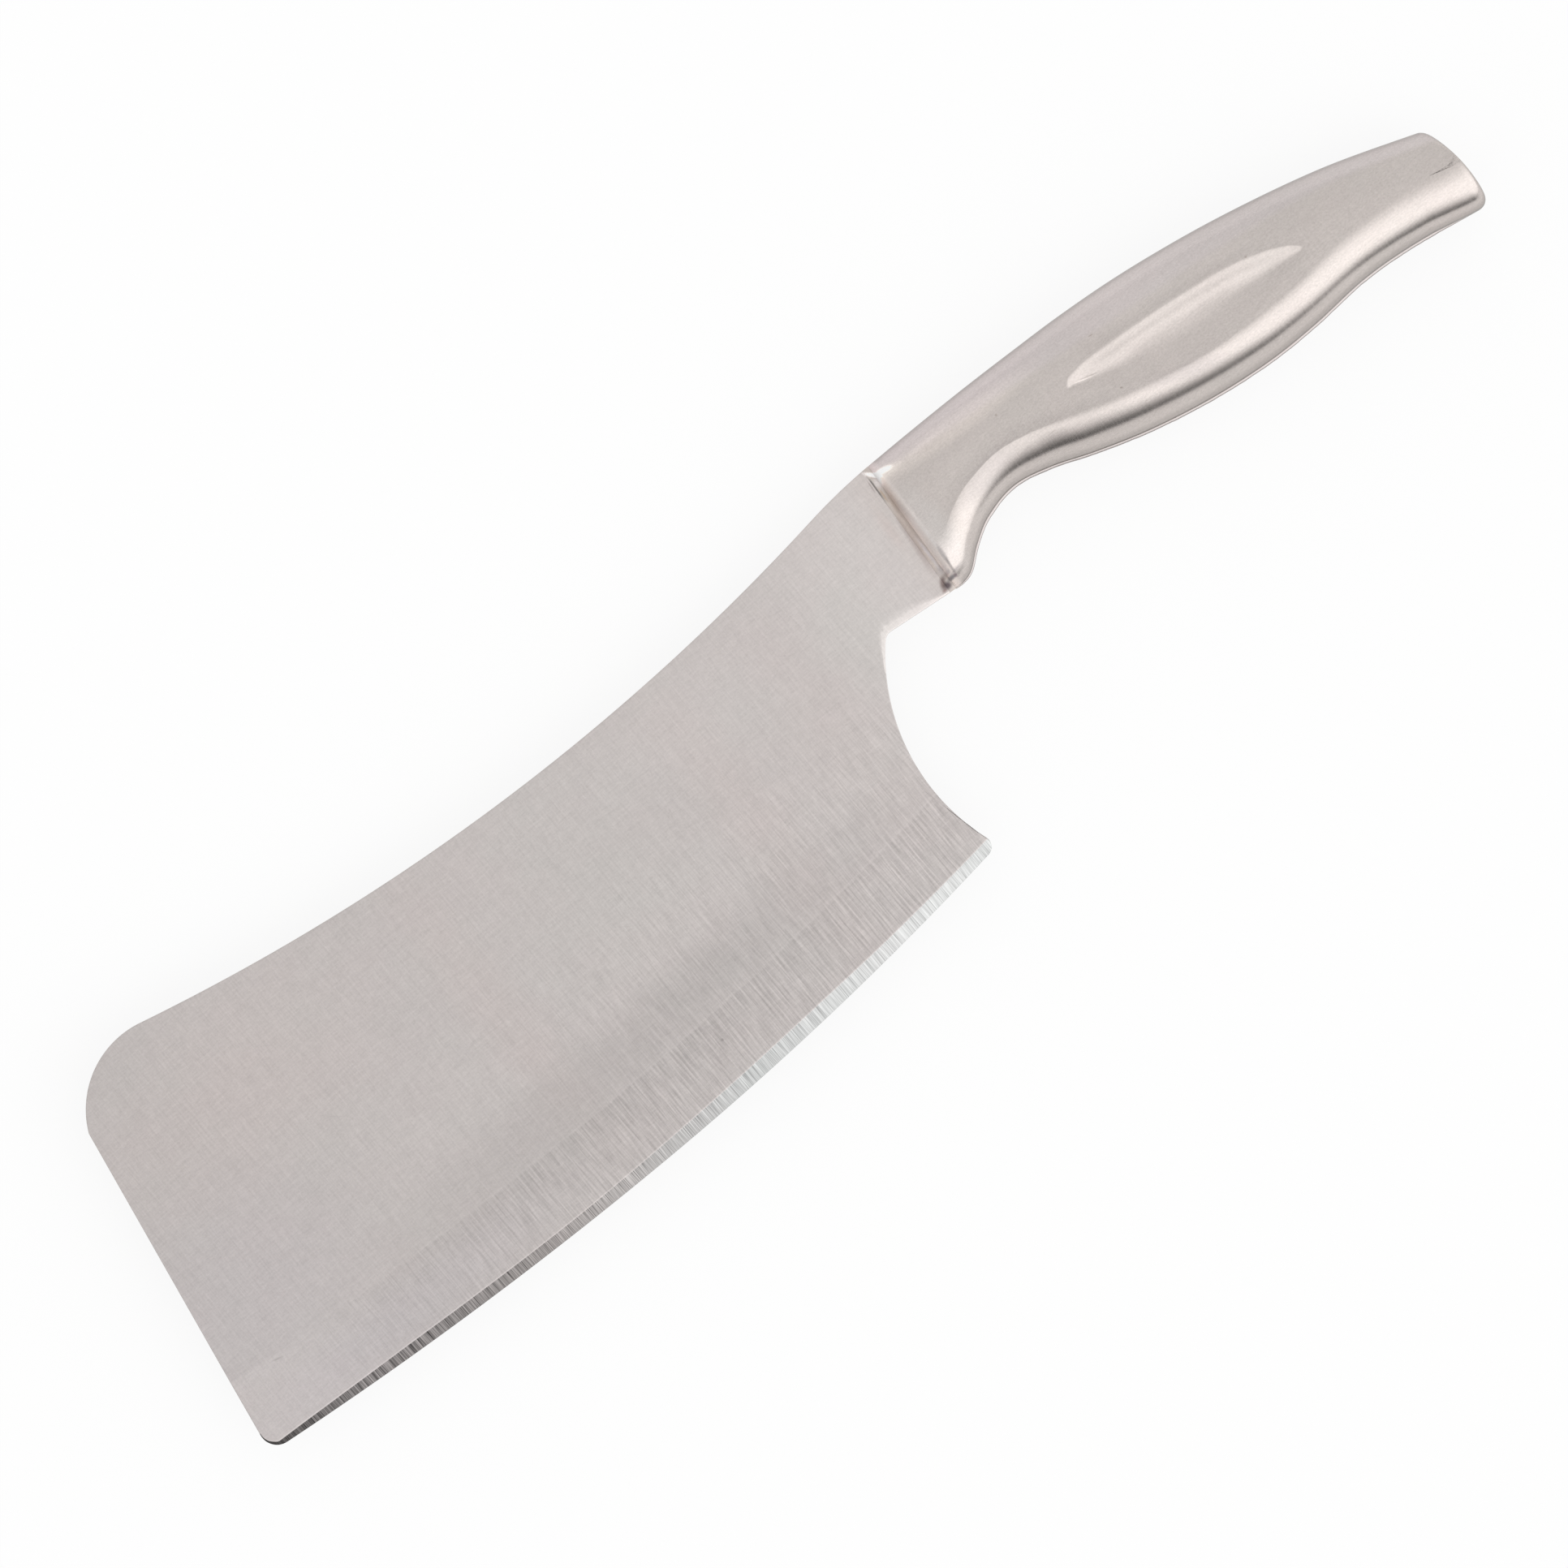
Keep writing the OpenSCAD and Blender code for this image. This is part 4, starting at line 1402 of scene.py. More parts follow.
@dataclass
class SteelEffects:
    """The shared effects of the steel finishes, each a node group that reads outline millimetres."""

    fine: Noise = Noise((3.9, 0.2, 0.3), 1.0, 0.6)
    broad: Noise = Noise((1.1, 0.06, 0.1), 2.0, 0.5)
    cross: Noise = Noise((0.3, 2.6, 0.3), 1.0, 0.55)
    tone_cloud: Noise = Noise((0.035, 0.05, 0.05), 2.0, 0.5)
    tint_cloud: Noise = Noise((0.06, 0.09, 0.09), 3.0, 0.6)
    scratch_ways: tuple[tuple[float, Noise], ...] = (
        (0.35, Noise((2.6, 0.12, 0.2))),
        (-0.9, Noise((2.9, 0.16, 0.2))),
        (1.45, Noise((2.4, 0.1, 0.2))),
    )
    scratch_crest: Span = (0.72, 0.8)

    def __post_init__(self) -> None:
        """Makes the groups."""
        self.plan = self.make_plan()
        self.grain = self.make_grain()
        self.clouds = self.make_clouds()
        self.scratches = self.make_scratches()
        self.patch = self.make_patch()

    def make_plan(self) -> bpy.types.NodeTree:
        """Outline coordinates in millimetres from object coordinates, and a mask of the left side.

        Returns:
            The group.
        """
        graph, given, out = new_group("outline_place", {"Object": "Vector"}, ("Place", "Left"))
        large = graph.vector("MULTIPLY", given["Object"], (MM_PER_M, MM_PER_M, MM_PER_M))
        place = graph.vector("ADD", large, (FRAME.knife_l / 2, FRAME.knife_h / 2, -FRAME.mid_z))
        graph.feed(out["Place"], place)
        graph.feed(out["Left"], graph.math("GREATER_THAN", graph.split(place)[2], 0.0))
        return graph.tree

    def make_grain(self) -> bpy.types.NodeTree:
        """Straight polishing lines along Y: two widths of long narrow noise, and fainter ones across.

        Returns:
            The group.
        """
        graph, given, out = new_group("straight_grain", {"Place": "Vector"}, ("Fine", "Broad", "Cross"))
        for label, pattern in (("Fine", self.fine), ("Broad", self.broad), ("Cross", self.cross)):
            graph.feed(out[label], graph.uneven(given["Place"], pattern))
        return graph.tree

    def make_clouds(self) -> bpy.types.NodeTree:
        """Large faint patches, around zero, for tone and for tint.

        Returns:
            The group.
        """
        graph, given, out = new_group("faint_clouds", {"Place": "Vector"}, ("Tone", "Tint"))
        for label, pattern in (("Tone", self.tone_cloud), ("Tint", self.tint_cloud)):
            graph.feed(out[label], graph.uneven(given["Place"], pattern))
        return graph.tree

    def make_scratches(self) -> bpy.types.NodeTree:
        """Sparse fine scratches: the crests of long narrow noise, laid in three slanted ways.

        Returns:
            The group.
        """
        graph, given, out = new_group("stray_scratches", {"Place": "Vector"}, ("Mask",))
        strongest: object = 0.0
        for angle, pattern in self.scratch_ways:
            lines = graph.noise(graph.turned(given["Place"], angle), pattern)
            strongest = graph.math("MAXIMUM", strongest, graph.ramp(lines, *self.scratch_crest))
        graph.feed(out["Mask"], strongest)
        return graph.tree

    def make_patch(self) -> bpy.types.NodeTree:
        """A soft oval patch: 1 at its core, 0 from its outline on.

        Returns:
            The group.
        """
        inputs = {"Place": "Vector", "Middle": "Vector", "Reach": "Vector", "Turn": "Float", "Core": "Float"}
        graph, given, out = new_group("soft_patch", inputs, ("Mask",))
        away = graph.vector("SUBTRACT", given["Place"], given["Middle"])
        share = graph.vector("DIVIDE", graph.turned(away, given["Turn"]), given["Reach"])
        flat = graph.vector("MULTIPLY", share, (1.0, 1.0, 0.0))
        length = graph.result("ShaderNodeVectorMath", {0: flat}, "Value", operation="LENGTH")
        graph.feed(out["Mask"], graph.ramp(length, given["Core"], 1.0, 1.0, 0.0))
        return graph.tree


@dataclass
class Surface:
    """A material in the making: its graph, and what its colour, tone, grain and roughness are so far."""

    graph: Graph
    place: Socket
    colour: Socket
    tone: Socket
    grain: object
    rough: object

    def lift(self, mask: object, amount: object = 1.0) -> None:
        """Adds a mask times an amount to the tone."""
        self.tone = self.graph.math("MULTIPLY_ADD", mask, amount, self.tone)


class Look:
    """What sets one zone's finish apart from plain steel.

    A span is where a change begins and where it ends, in outline millimetres, in a share or on the
    scale of the attribute that it reads, and it may go on with the levels at both. A tone is added to
    the finish's own, which is 1.
    """

    def dress(self, surface: Surface) -> None:
        """Changes a surface's colour, tone, grain and roughness."""
        raise NotImplementedError


@dataclass(frozen=True)
class BladeLook(Look):
    """The blade's ground band, wheel lines, bevel, eased edge and neck."""

    length_tones: Rows = (
        (0, -0.045), (60, -0.01), (100, 0.005), (140, 0.025), (162, 0.04), (178, 0.12), (190, 0.13),
    )
    band_top: Span = (14.4, 13.9)
    band_front: Span = (8, 40)
    band_tone: float = -0.075
    line_top: Span = (14.7, 14.3)
    line_foot: Span = (13.8, 14.2)
    line_front: Span = (12, 50)
    line_tone: float = 0.025
    worn: Noise = Noise((1.9, 0.25, 0.3), 2.0, 0.6)
    worn_uneven: float = 0.6
    worn_edge: Span = (0.22, 0.5)
    worn_start: Span = (0.0, 0.15)
    worn_tone: float = 0.16
    rear_grain_from: Span = (60, 120)
    rear_grain_below: Span = (48, 24, 0.0, 0.34)
    band_grain: Span = (20, 110, 0.16, 0.5)
    strongest_grain: float = 1.0
    wheel_rate: float = 6.6
    wheel_drift: float = 14.0
    wheel: Noise = Noise((0.25, 0.03, 0.1))
    wheel_tone: Span = (15, 100, 0.012, 0.045)
    facet_edge: Span = (0.06, -0.04)
    # Painted reflection on the bevel: dark near the front, bright towards the rear
    painted_bevel_tones: Rows = (
        (0, 0.1), (8, 0.2), (22, 0.34), (40, 0.34), (60, 0.44),
        (80, 0.64), (105, 0.8), (145, 1.0), (165, 1.0),
    )
    stripes: Noise = Noise((6.2, 0.12, 0.3), 0.0)
    stripe_contrast: Span = (0, 150, 2.4, 0.7)
    cool_from: Span = (60, 110)
    cool: Colour = (0.93, 1.01, 1.03)
    # Painted highlight along the bevel's upper line
    bevel_highlight_top: Span = (0.3, 0.1)
    bevel_highlight_foot: Span = (-0.12, 0.0)
    bevel_highlight_tone: float = 0.15
    heat_from: Span = (183.5, 189.5)
    heat_share: float = 0.12
    heat: Colour = (0.5, 0.42, 0.36)

    def dress(self, surface: Surface) -> None:
        """Adds the band and its line, the eased edge, the stronger grain, the bevel with its painted
        reflection, a painted highlight along the bevel's upper line, and the heat tint.

        Args:
            surface: The blade's surface.
        """
        graph, place = surface.graph, surface.place
        x, y, _ = graph.split(place)
        edge, bevel, eased = (graph.attribute(name) for name in ("edge_mm", "bevel_mm", "eased"))
        band = graph.product(graph.ramp(edge, *self.band_top), graph.ramp(x, *self.band_front))
        surface.lift(graph.tones(x, self.length_tones))
        surface.lift(band, self.band_tone)
        line = graph.product(graph.ramp(edge, *self.line_top), graph.ramp(edge, *self.line_foot))
        surface.lift(graph.product(line, graph.ramp(x, *self.line_front)), self.line_tone)
        worn = graph.math("MULTIPLY_ADD", graph.uneven(place, self.worn), self.worn_uneven, eased)
        worn = graph.product(graph.ramp(worn, *self.worn_edge), graph.ramp(eased, *self.worn_start))
        surface.lift(worn, self.worn_tone)
        rear = graph.product(graph.ramp(x, *self.rear_grain_from), graph.ramp(y, *self.rear_grain_below))
        strong = graph.math("MAXIMUM", graph.product(band, graph.ramp(x, *self.band_grain)), rear)
        surface.grain = graph.blend(strong, surface.grain, self.strongest_grain)
        drift = graph.product(graph.noise(place, self.wheel), self.wheel_drift)
        wheel = graph.math("SINE", graph.math("MULTIPLY_ADD", x, self.wheel_rate, drift))
        surface.lift(graph.product(wheel, band, graph.ramp(x, *self.wheel_tone)))
        facet = graph.ramp(bevel, *self.facet_edge)
        contrast = graph.ramp(x, *self.stripe_contrast)
        stripes = graph.math("MULTIPLY_ADD", graph.uneven(place, self.stripes), contrast, 1.0)
        # The bevel's tone is painted reflection, dark near the front and bright towards the rear, times its
        # grinding stripes
        painted_bevel_tone = graph.product(graph.tones(x, self.painted_bevel_tones), stripes)
        surface.tone = graph.blend(facet, surface.tone, painted_bevel_tone)
        cool = graph.product(facet, graph.ramp(x, *self.cool_from))
        surface.colour = graph.tinted(surface.colour, cool, self.cool)
        # Painted highlight along the bevel's upper line
        border = graph.product(graph.ramp(bevel, *self.bevel_highlight_top), graph.ramp(bevel, *self.bevel_highlight_foot))
        surface.lift(border, self.bevel_highlight_tone)
        heat = graph.product(graph.ramp(x, *self.heat_from), self.heat_share)
        surface.colour = graph.mix(heat, surface.colour, (*self.heat, 1))


@dataclass(frozen=True)
class HandleLook(Look):
    """The handle's painted light and shade: the spine band's reflection, shade round its dimple and
    shoulder, shade along its edges, and light on its front walls.
    """

    # Painted reflection on the spine band: a little lighter and bluer than the flat side
    band_edge: Span = (0.8, -0.8)
    band_front: Span = (188, 192)
    band_tone: float = 0.035
    band_reflection_tint: Colour = (0.99, 0.99, 1.02)
    shade_foot: Span = (0.0, 0.3)
    shade_top: Span = (3.2, 0.3)
    shade_front: Span = (192, 200)
    shade_rear: Span = (245, 220)
    shade_tone: float = -0.09
    # Painted shade just above the dimple's upper edge and inside the dimple
    dimple_shade_tones: Rows = (
        (-2.2, 0), (-0.9, -0.07), (-0.3, -0.08), (0, 0), (0.7, -0.05),
        (1.65, -0.19), (2.65, -0.04), (3.1, 0), (6.5, 0),
    )
    press_front: Span = (229, 238)
    press_rear: Span = (274, 258)
    # Painted shade lower down in the middle of the dimple
    dimple_tail_shade_tones: Rows = ((2.4, 0), (3.1, -0.11), (3.7, -0.18), (4.6, -0.17), (5.2, -0.1), (6, 0), (6.5, 0))
    tail_front: Span = (235, 243)
    tail_rear: Span = (266, 256)
    # Painted shade along the foot, in the seam's crease and along the top edge
    foot_edge: Span = (1.3, 0.5)
    foot_shade_tone: float = -0.14
    seam_edge: Span = (0.3, 0.1)
    seam_shade_tone: float = -0.3
    top_edge: Span = (1.0, 0.0)
    top_shade_tone: float = -0.12
    # Painted light on the shells' steep front walls, stronger low down, which are also made rougher
    wall_edge: Span = (2.0, 0.5)
    wall_painted_light: Span = (62, 58, 0.35, 0.6)
    wall_rough: float = 0.5

    def dress(self, surface: Surface) -> None:
        """Adds the spine band's painted reflection, the painted shade above the shoulder and in the pressed
        dimple, painted shade along the edges, and painted light on the rougher front walls.

        Args:
            surface: The handle's surface.
        """
        graph = surface.graph
        x, y, _ = graph.split(surface.place)
        above, below, foot = (graph.attribute(name) for name in ("above_shoulder", "dimple_mm", "foot_mm"))
        # Painted reflection on the spine band
        band = graph.ramp(graph.attribute("spine_mm"), *self.band_edge)
        band = graph.product(band, graph.ramp(x, *self.band_front))
        surface.lift(band, self.band_tone)
        surface.colour = graph.tinted(surface.colour, band, self.band_reflection_tint)
        shade = graph.product(graph.ramp(above, *self.shade_foot), graph.ramp(above, *self.shade_top))
        # Painted shade above the shoulder's crease and in the dimple
        for mask, front, rear, amount in (
            (shade, self.shade_front, self.shade_rear, self.shade_tone),
            (graph.tones(below, self.dimple_shade_tones), self.press_front, self.press_rear, 1.0),
            (graph.tones(below, self.dimple_tail_shade_tones), self.tail_front, self.tail_rear, 1.0),
        ):
            surface.lift(graph.product(mask, graph.ramp(x, *rear), graph.ramp(x, *front)), amount)
        # Painted shade along the foot, in the seam's crease and along the top edge
        surface.lift(graph.ramp(foot, *self.foot_edge), self.foot_shade_tone)
        surface.lift(graph.ramp(foot, *self.seam_edge), self.seam_shade_tone)
        surface.lift(graph.ramp(graph.attribute("top_mm"), *self.top_edge), self.top_shade_tone)
        # Painted light on the front walls
        wall = graph.ramp(graph.attribute("front_mm"), *self.wall_edge)
        surface.lift(wall, graph.ramp(y, *self.wall_painted_light))
        surface.rough = graph.math("MULTIPLY_ADD", wall, self.wall_rough, surface.rough)


@dataclass(frozen=True)
class SeamLook(Look):
    """The seam welds, with painted shade on their crests."""

    crest: Span = (0.8, 0.98)
    crest_shade_tone: float = -0.3

    def dress(self, surface: Surface) -> None:
        """Paints shade on the crests."""
        graph = surface.graph
        surface.lift(graph.ramp(graph.attribute("crest"), *self.crest), self.crest_shade_tone)


@dataclass(frozen=True)
class NeckWeldLook(Look):
    """The neck beads, with faint brown streaks and a line of painted shade where they leave the blade."""

    streaks: Noise = Noise((2.2, 0.2, 0.4), 2.0)
    streak_edge: Span = (0.5, 0.7)
    streak_share: float = 0.2
    brown: Colour = (0.45, 0.36, 0.3)
    shade_line_edge: Span = (0.05, 0.005)
    line_tone: float = -0.04
    strong_foot: Span = (0.72, 0.82)
    strong_top: Span = (0.95, 0.9)
    strong_times: float = 12.0

    def dress(self, surface: Surface) -> None:
        """Adds the streaks up the bead, and the line of painted shade, which is strongest near the top.

        Args:
            surface: The beads' surface.
        """
        graph = surface.graph
        streaks = graph.ramp(graph.noise(surface.place, self.streaks), *self.streak_edge)
        brown = graph.product(streaks, self.streak_share)
        surface.colour = graph.mix(brown, surface.colour, (*self.brown, 1))
        up = graph.attribute("up")
        strong = graph.product(graph.ramp(up, *self.strong_foot), graph.ramp(up, *self.strong_top))
        times = graph.math("MULTIPLY_ADD", strong, self.strong_times, 1.0)
        # Painted shade in the crease where the bead leaves the blade
        line = graph.ramp(graph.attribute("climb"), *self.shade_line_edge)
        surface.lift(graph.product(line, times), self.line_tone)


@dataclass(frozen=True)
class Patch:
    """A soft oval patch of another colour; its place and reach are in outline millimetres.

    The colour is a factor on the finish's own.
    """

    middle: tuple[float, float]
    reach: tuple[float, float]
    colour: Colour
    turn_deg: float = 0.0
    core: float = 0.1
    left_only: bool = False


@dataclass(frozen=True)
class Mark(Patch):
    """A small patch that is on the left side only."""

    left_only: bool = True


def grey(level: float) -> Colour:
    """A factor that darkens or lightens without a tint."""
    return level, level, level


@dataclass(frozen=True)
class SteelFinish:
    """One steel finish: its zone's look, its colour, how rough it is, and how strong each effect is."""

    zone: Zone
    look: Look
    colour: Colour
    roughness: float
    grain: float
    cross: float
    cloud: float
    scratch: float
    speckle: float
    patches: tuple[Patch, ...] = ()


# Rose and grey clouds over the blade, the shaded part above its band, and two small marks
BLADE_PATCHES = (
    Patch((36, 58), (38, 22), (1.012, 0.995, 0.992)),
    Patch((14, 28), (36, 30), (0.985, 0.986, 1.004)),
    Patch((30, 8), (50, 9), (0.99, 0.99, 1.012)),
    Patch((80, 40), (9, 50), (1.008, 0.993, 0.99)),
    Patch((136, 40), (9, 50), (1.008, 0.995, 0.993)),
    Patch((158, 38), (12, 40), (1.006, 0.996, 0.994)),
    Patch((108, 44), (24, 34), (0.993, 1.004, 0.999)),
    Patch((172, 50), (12, 20), (0.993, 1.006, 1.0)),
    Patch((126, 21), (60, 9), grey(0.925)),
    Patch((84, 17), (66, 13), grey(0.91)),
    Patch((148, 58), (52, 16), grey(1.02)),
    Mark((11.0, 17.05), (1.5, 0.28), grey(0.8), -16),
    Mark((107.1, 9.9), (0.4, 0.4), grey(0.75), 0, 0.2),
)
# Where the blade, the beads and the shells meet: brown heat tint and a burnt spot, painted shade along the
# hollow of the weld and the shells' fronts, and painted highlights on the beads and at the strip's bright
# upper end
JUNCTION_TINT_AND_PAINTED_LIGHT = (
    Mark((188.3, 46.6), (2.0, 0.85), (0.36, 0.3, 0.3), 58),
    Mark((187.8, 45.4), (0.8, 0.5), (0.7, 0.6, 0.6)),
    Mark((189.4, 47.2), (1.1, 0.8), (0.75, 0.72, 0.72), 20, 0.2),
    Mark((190.9, 46.3), (0.5, 0.6), (0.55, 0.5, 0.55)),
    Mark((191.4, 47.0), (2.4, 0.35), (0.78, 0.78, 0.8), 10, 0.2),
    Mark((189.7, 57.5), (1.3, 12.0), (0.9, 0.86, 0.84), -9, 0.2),
    Mark((188.7, 53.5), (0.8, 7.5), (0.86, 0.85, 0.86), -7, 0.2),
    Mark((191.3, 56.0), (0.8, 9.0), (0.87, 0.88, 0.89), 0, 0.4),
    Mark((191.5, 50.4), (0.6, 2.8), (0.72, 0.72, 0.73), -6, 0.4),
    Mark((190.8, 63.5), (0.8, 3.2), (0.95, 0.92, 0.89), -8, 0.2),
    Mark((190.25, 65.2), (0.3, 1.9), (0.87, 0.79, 0.7), -5, 0.3),
    Mark((187.2, 60.0), (1.6, 6.5), (0.985, 0.955, 0.95), -3),
    Mark((189.55, 67.7), (0.2, 1.9), (0.72, 0.7, 0.7), -6, 0.3),
    Mark((191.0, 67.5), (1.0, 1.5), (1.22, 1.25, 1.3), 0, 0.2),
    Mark((191.0, 69.2), (2.2, 0.55), (1.75, 1.8, 1.85), -50, 0.3),
    Mark((190.5, 50.0), (0.55, 6.5), (0.87, 0.89, 0.9), -2, 0.3),
    Mark((189.7, 52.5), (0.4, 5.0), (1.09, 1.12, 1.2), -3, 0.2),
    Mark((189.0, 58.5), (0.5, 4.0), (0.92, 0.92, 0.93), -7, 0.2),
    Mark((190.2, 47.6), (0.7, 0.7), (0.8, 0.8, 0.82), 0, 0.3),
    Mark((188.7, 45.8), (1.15, 1.05), (0.28, 0.25, 0.28), 0, 0.2),
    Mark((190.1, 46.35), (1.2, 0.6), (0.42, 0.43, 0.46), 0, 0.2),
    Mark((189.4, 48.6), (1.5, 1.3), (0.85, 0.85, 0.87), 0, 0.2),
)
# Painted highlights on the corner behind the beads, along the ridge by the spine and at the dimple's left
# tip, painted light and shade on the flat side, and small marks and nicks
HANDLE_MARKS_AND_PAINTED_LIGHT = (
    Mark((193.2, 68.5), (2.1, 0.8), (1.5, 1.52, 1.5), -14, 0.3),
    Mark((193.4, 68.0), (3.8, 1.5), (1.22, 1.23, 1.21), -10, 0.2),
    Mark((200.5, 67.5), (7.5, 0.6), grey(1.08), -2),
    Patch((205, 68.5), (32, 4.5), (1.05, 1.04, 1.05), -3, 0.3),
    Patch((206, 66.6), (25, 3.0), (1.15, 1.15, 1.13), -4, 0.3),
    Mark((229.9, 58.15), (2.9, 0.2), grey(1.3), -18, 0.2),
    Mark((231.2, 58.0), (2.4, 0.15), (0.78, 0.77, 0.76), -17, 0.2),
    Mark((305.1, 49.2), (0.5, 0.3), (0.35, 0.34, 0.4), 0, 0.2),
    Patch((206.5, 56.2), (9, 3), (0.84, 0.84, 0.85), 10, 0.3),
    Patch((245, 47.6), (10, 1.8), (0.89, 0.89, 0.9), -18, 0.3),
    Patch((193.5, 55), (4, 12), (1.02, 1.04, 1.05), 0, 0.2),
    Mark((235.9, 63.3), (0.8, 0.2), (0.8, 0.78, 0.76), -10),
    Mark((234.1, 52.8), (0.4, 0.25), (0.7, 0.68, 0.66), -35, 0.2),
    Mark((214.2, 63.2), (0.3, 0.3), (0.78, 0.76, 0.74), 0, 0.2),
    Mark((265.4, 56.4), (0.4, 0.3), (0.8, 0.78, 0.76), 0, 0.2),
    Mark((214.8, 53.8), (0.9, 0.16), grey(1.12), -8),
    Mark((219.7, 54.6), (1.2, 0.14), grey(0.85), 5),
    Mark((261.5, 41.8), (0.8, 0.15), grey(1.15), 30),
)

FINISHES = (
    SteelFinish(
        Zone.BLADE, BladeLook(), (0.573, 0.532, 0.517), roughness=0.32, grain=0.17, cross=0.14, cloud=0.05,
        scratch=0.04, speckle=0.2, patches=BLADE_PATCHES + JUNCTION_TINT_AND_PAINTED_LIGHT,
    ),
    SteelFinish(
        Zone.HANDLE, HandleLook(), (0.60, 0.548, 0.52), roughness=0.225, grain=0.08, cross=0.1, cloud=0.2,
        scratch=0.04, speckle=0.28, patches=HANDLE_MARKS_AND_PAINTED_LIGHT + JUNCTION_TINT_AND_PAINTED_LIGHT,
    ),
    SteelFinish(
        Zone.SEAM, SeamLook(), (0.55, 0.5, 0.485), roughness=0.26, grain=0.1, cross=0.05, cloud=0.05,
        scratch=0.1, speckle=0.1,
    ),
    SteelFinish(
        Zone.NECK_WELD, NeckWeldLook(), (0.72, 0.67, 0.635), roughness=0.7, grain=0.15, cross=0.08,
        cloud=0.1, scratch=0.1, speckle=0.16, patches=JUNCTION_TINT_AND_PAINTED_LIGHT,
    ),
)


@dataclass
class Finishes:
    """Makes and keeps the knife's materials."""

    speckle: Noise = Noise((2.2, 3.2, 2.6), 1.0, 0.7)
    tint_contrast: float = 1.6
    cool: Colour = (0.992, 1.003, 1.0)
    warm: Colour = (1.01, 0.997, 1.0)
    broad_share: float = 0.08
    rough_grain: float = 0.08
    mirror_tint: Colour = (0.7, 0.69, 0.68)
    bump_strength: float = 0.2
    bump_height: float = 0.00002
    scratch_depth: float = -0.6

    def __post_init__(self) -> None:
        """Makes one material for each zone."""
        self.effects = SteelEffects()
        self.made = {finish.zone: self.make(finish) for finish in FINISHES}

    def of(self, zone: Zone) -> bpy.types.Material:
        """The material of a zone."""
        return self.made[zone]

    @staticmethod
    def effect(graph: Graph, tree: bpy.types.NodeTree, **values: object) -> bpy.types.bpy_prop_collection:
        """Adds one of the shared effects.

        Args:
            graph: The material's graph.
            tree: The effect's group.
            values: What its inputs get, by name.

        Returns:
            Its outputs.
        """
        node = graph.add("ShaderNodeGroup", node_tree=tree)
        for name, value in values.items():
            graph.feed(node.inputs[name], value)
        return node.outputs

    def patched(self, surface: Surface, patches: tuple[Patch, ...], left: Socket) -> None:
        """Lays patches over a surface's colour, in order.

        Args:
            surface: The surface.
            patches: Its patches.
            left: A mask of the knife's left side.
        """
        for patch in patches:
            mask = self.effect(
                surface.graph, self.effects.patch, Place=surface.place, Middle=(*patch.middle, 0),
                Reach=(*patch.reach, 1), Turn=-math.radians(patch.turn_deg), Core=patch.core,
            )["Mask"]
            if patch.left_only:
                mask = surface.graph.product(mask, left)
            surface.colour = surface.graph.tinted(surface.colour, mask, patch.colour)

    def make(self, finish: SteelFinish) -> bpy.types.Material:
        """Makes a finish's material.

        Args:
            finish: The finish.

        Returns:
            A metal with grain, clouds, scratches and patches in its colour, roughness and bump.
        """
        material = bpy.data.materials.new(finish.zone.value + "_steel")
        material.use_nodes = True
        graph = Graph(material.node_tree)
        own = graph.add("ShaderNodeTexCoord").outputs["Object"]
        plan = self.effect(graph, self.effects.plan, Object=own)
        place = plan["Place"]
        grain, clouds, scratches = (
            self.effect(graph, tree, Place=place)
            for tree in (self.effects.grain, self.effects.clouds, self.effects.scratches)
        )
        warmth = graph.math("MULTIPLY_ADD", clouds["Tint"], self.tint_contrast, 0.5, clamp=True)
        cool, warm = (
            (*[a * b for a, b in zip(finish.colour, factor)], 1) for factor in (self.cool, self.warm)
        )
        plain = graph.math("MULTIPLY_ADD", graph.uneven(place, self.speckle), finish.speckle, 1.0)
        surface = Surface(graph, place, graph.mix(warmth, cool, warm), plain, finish.grain, finish.roughness)
        surface.lift(clouds["Tone"], finish.cloud)
        surface.lift(scratches["Mask"], -finish.scratch)
        surface.lift(grain["Cross"], finish.cross)
        self.patched(surface, finish.patches, plan["Left"])
        finish.look.dress(surface)
        surface.lift(grain["Fine"], surface.grain)
        surface.lift(grain["Broad"], graph.product(surface.grain, self.broad_share))
        colour = graph.result(
            "ShaderNodeVectorMath", {0: surface.colour, "Scale": surface.tone}, operation="SCALE"
        )
        height = graph.math("MULTIPLY_ADD", scratches["Mask"], self.scratch_depth, grain["Fine"])
        bump = {"Strength": self.bump_strength, "Distance": self.bump_height, "Height": height}
        shader = material.node_tree.nodes["Principled BSDF"]
        for name, value in (
            ("Base Color", colour),
            ("Metallic", 1.0),
            ("Specular Tint", (*self.mirror_tint, 1)),
            ("Roughness", graph.math("MULTIPLY_ADD", grain["Fine"], self.rough_grain, surface.rough)),
            ("Normal", graph.result("ShaderNodeBump", bump)),
        ):
            graph.feed(shader.inputs[name], value)
        return material


# Studio


@dataclass(frozen=True)
class Room:
    """The light of the room, by direction: an even grey, a brighter side, and a dim gap low down there."""

    even: float = 0.9
    bright: float = 0.75
    bright_from: float = -0.03
    bright_to: float = 0.7
    bright_right_of: float = -0.09
    bright_right_slope: float = 1.75
    bright_low_from: float = 0.35
    bright_low_to: float = 0.7
    gap_level: float = 0.02
    gap_level_right: float = 1.5
    gap_top: float = 0.55
    gap_top_right: float = -0.65
    gap_top_left: float = -1.1
    gap_top_least: float = 0.05
    gap_from: float = 0.3
    gap_to: float = 0.47
    gap_left_from: float = -0.9
    gap_left_to: float = -0.6


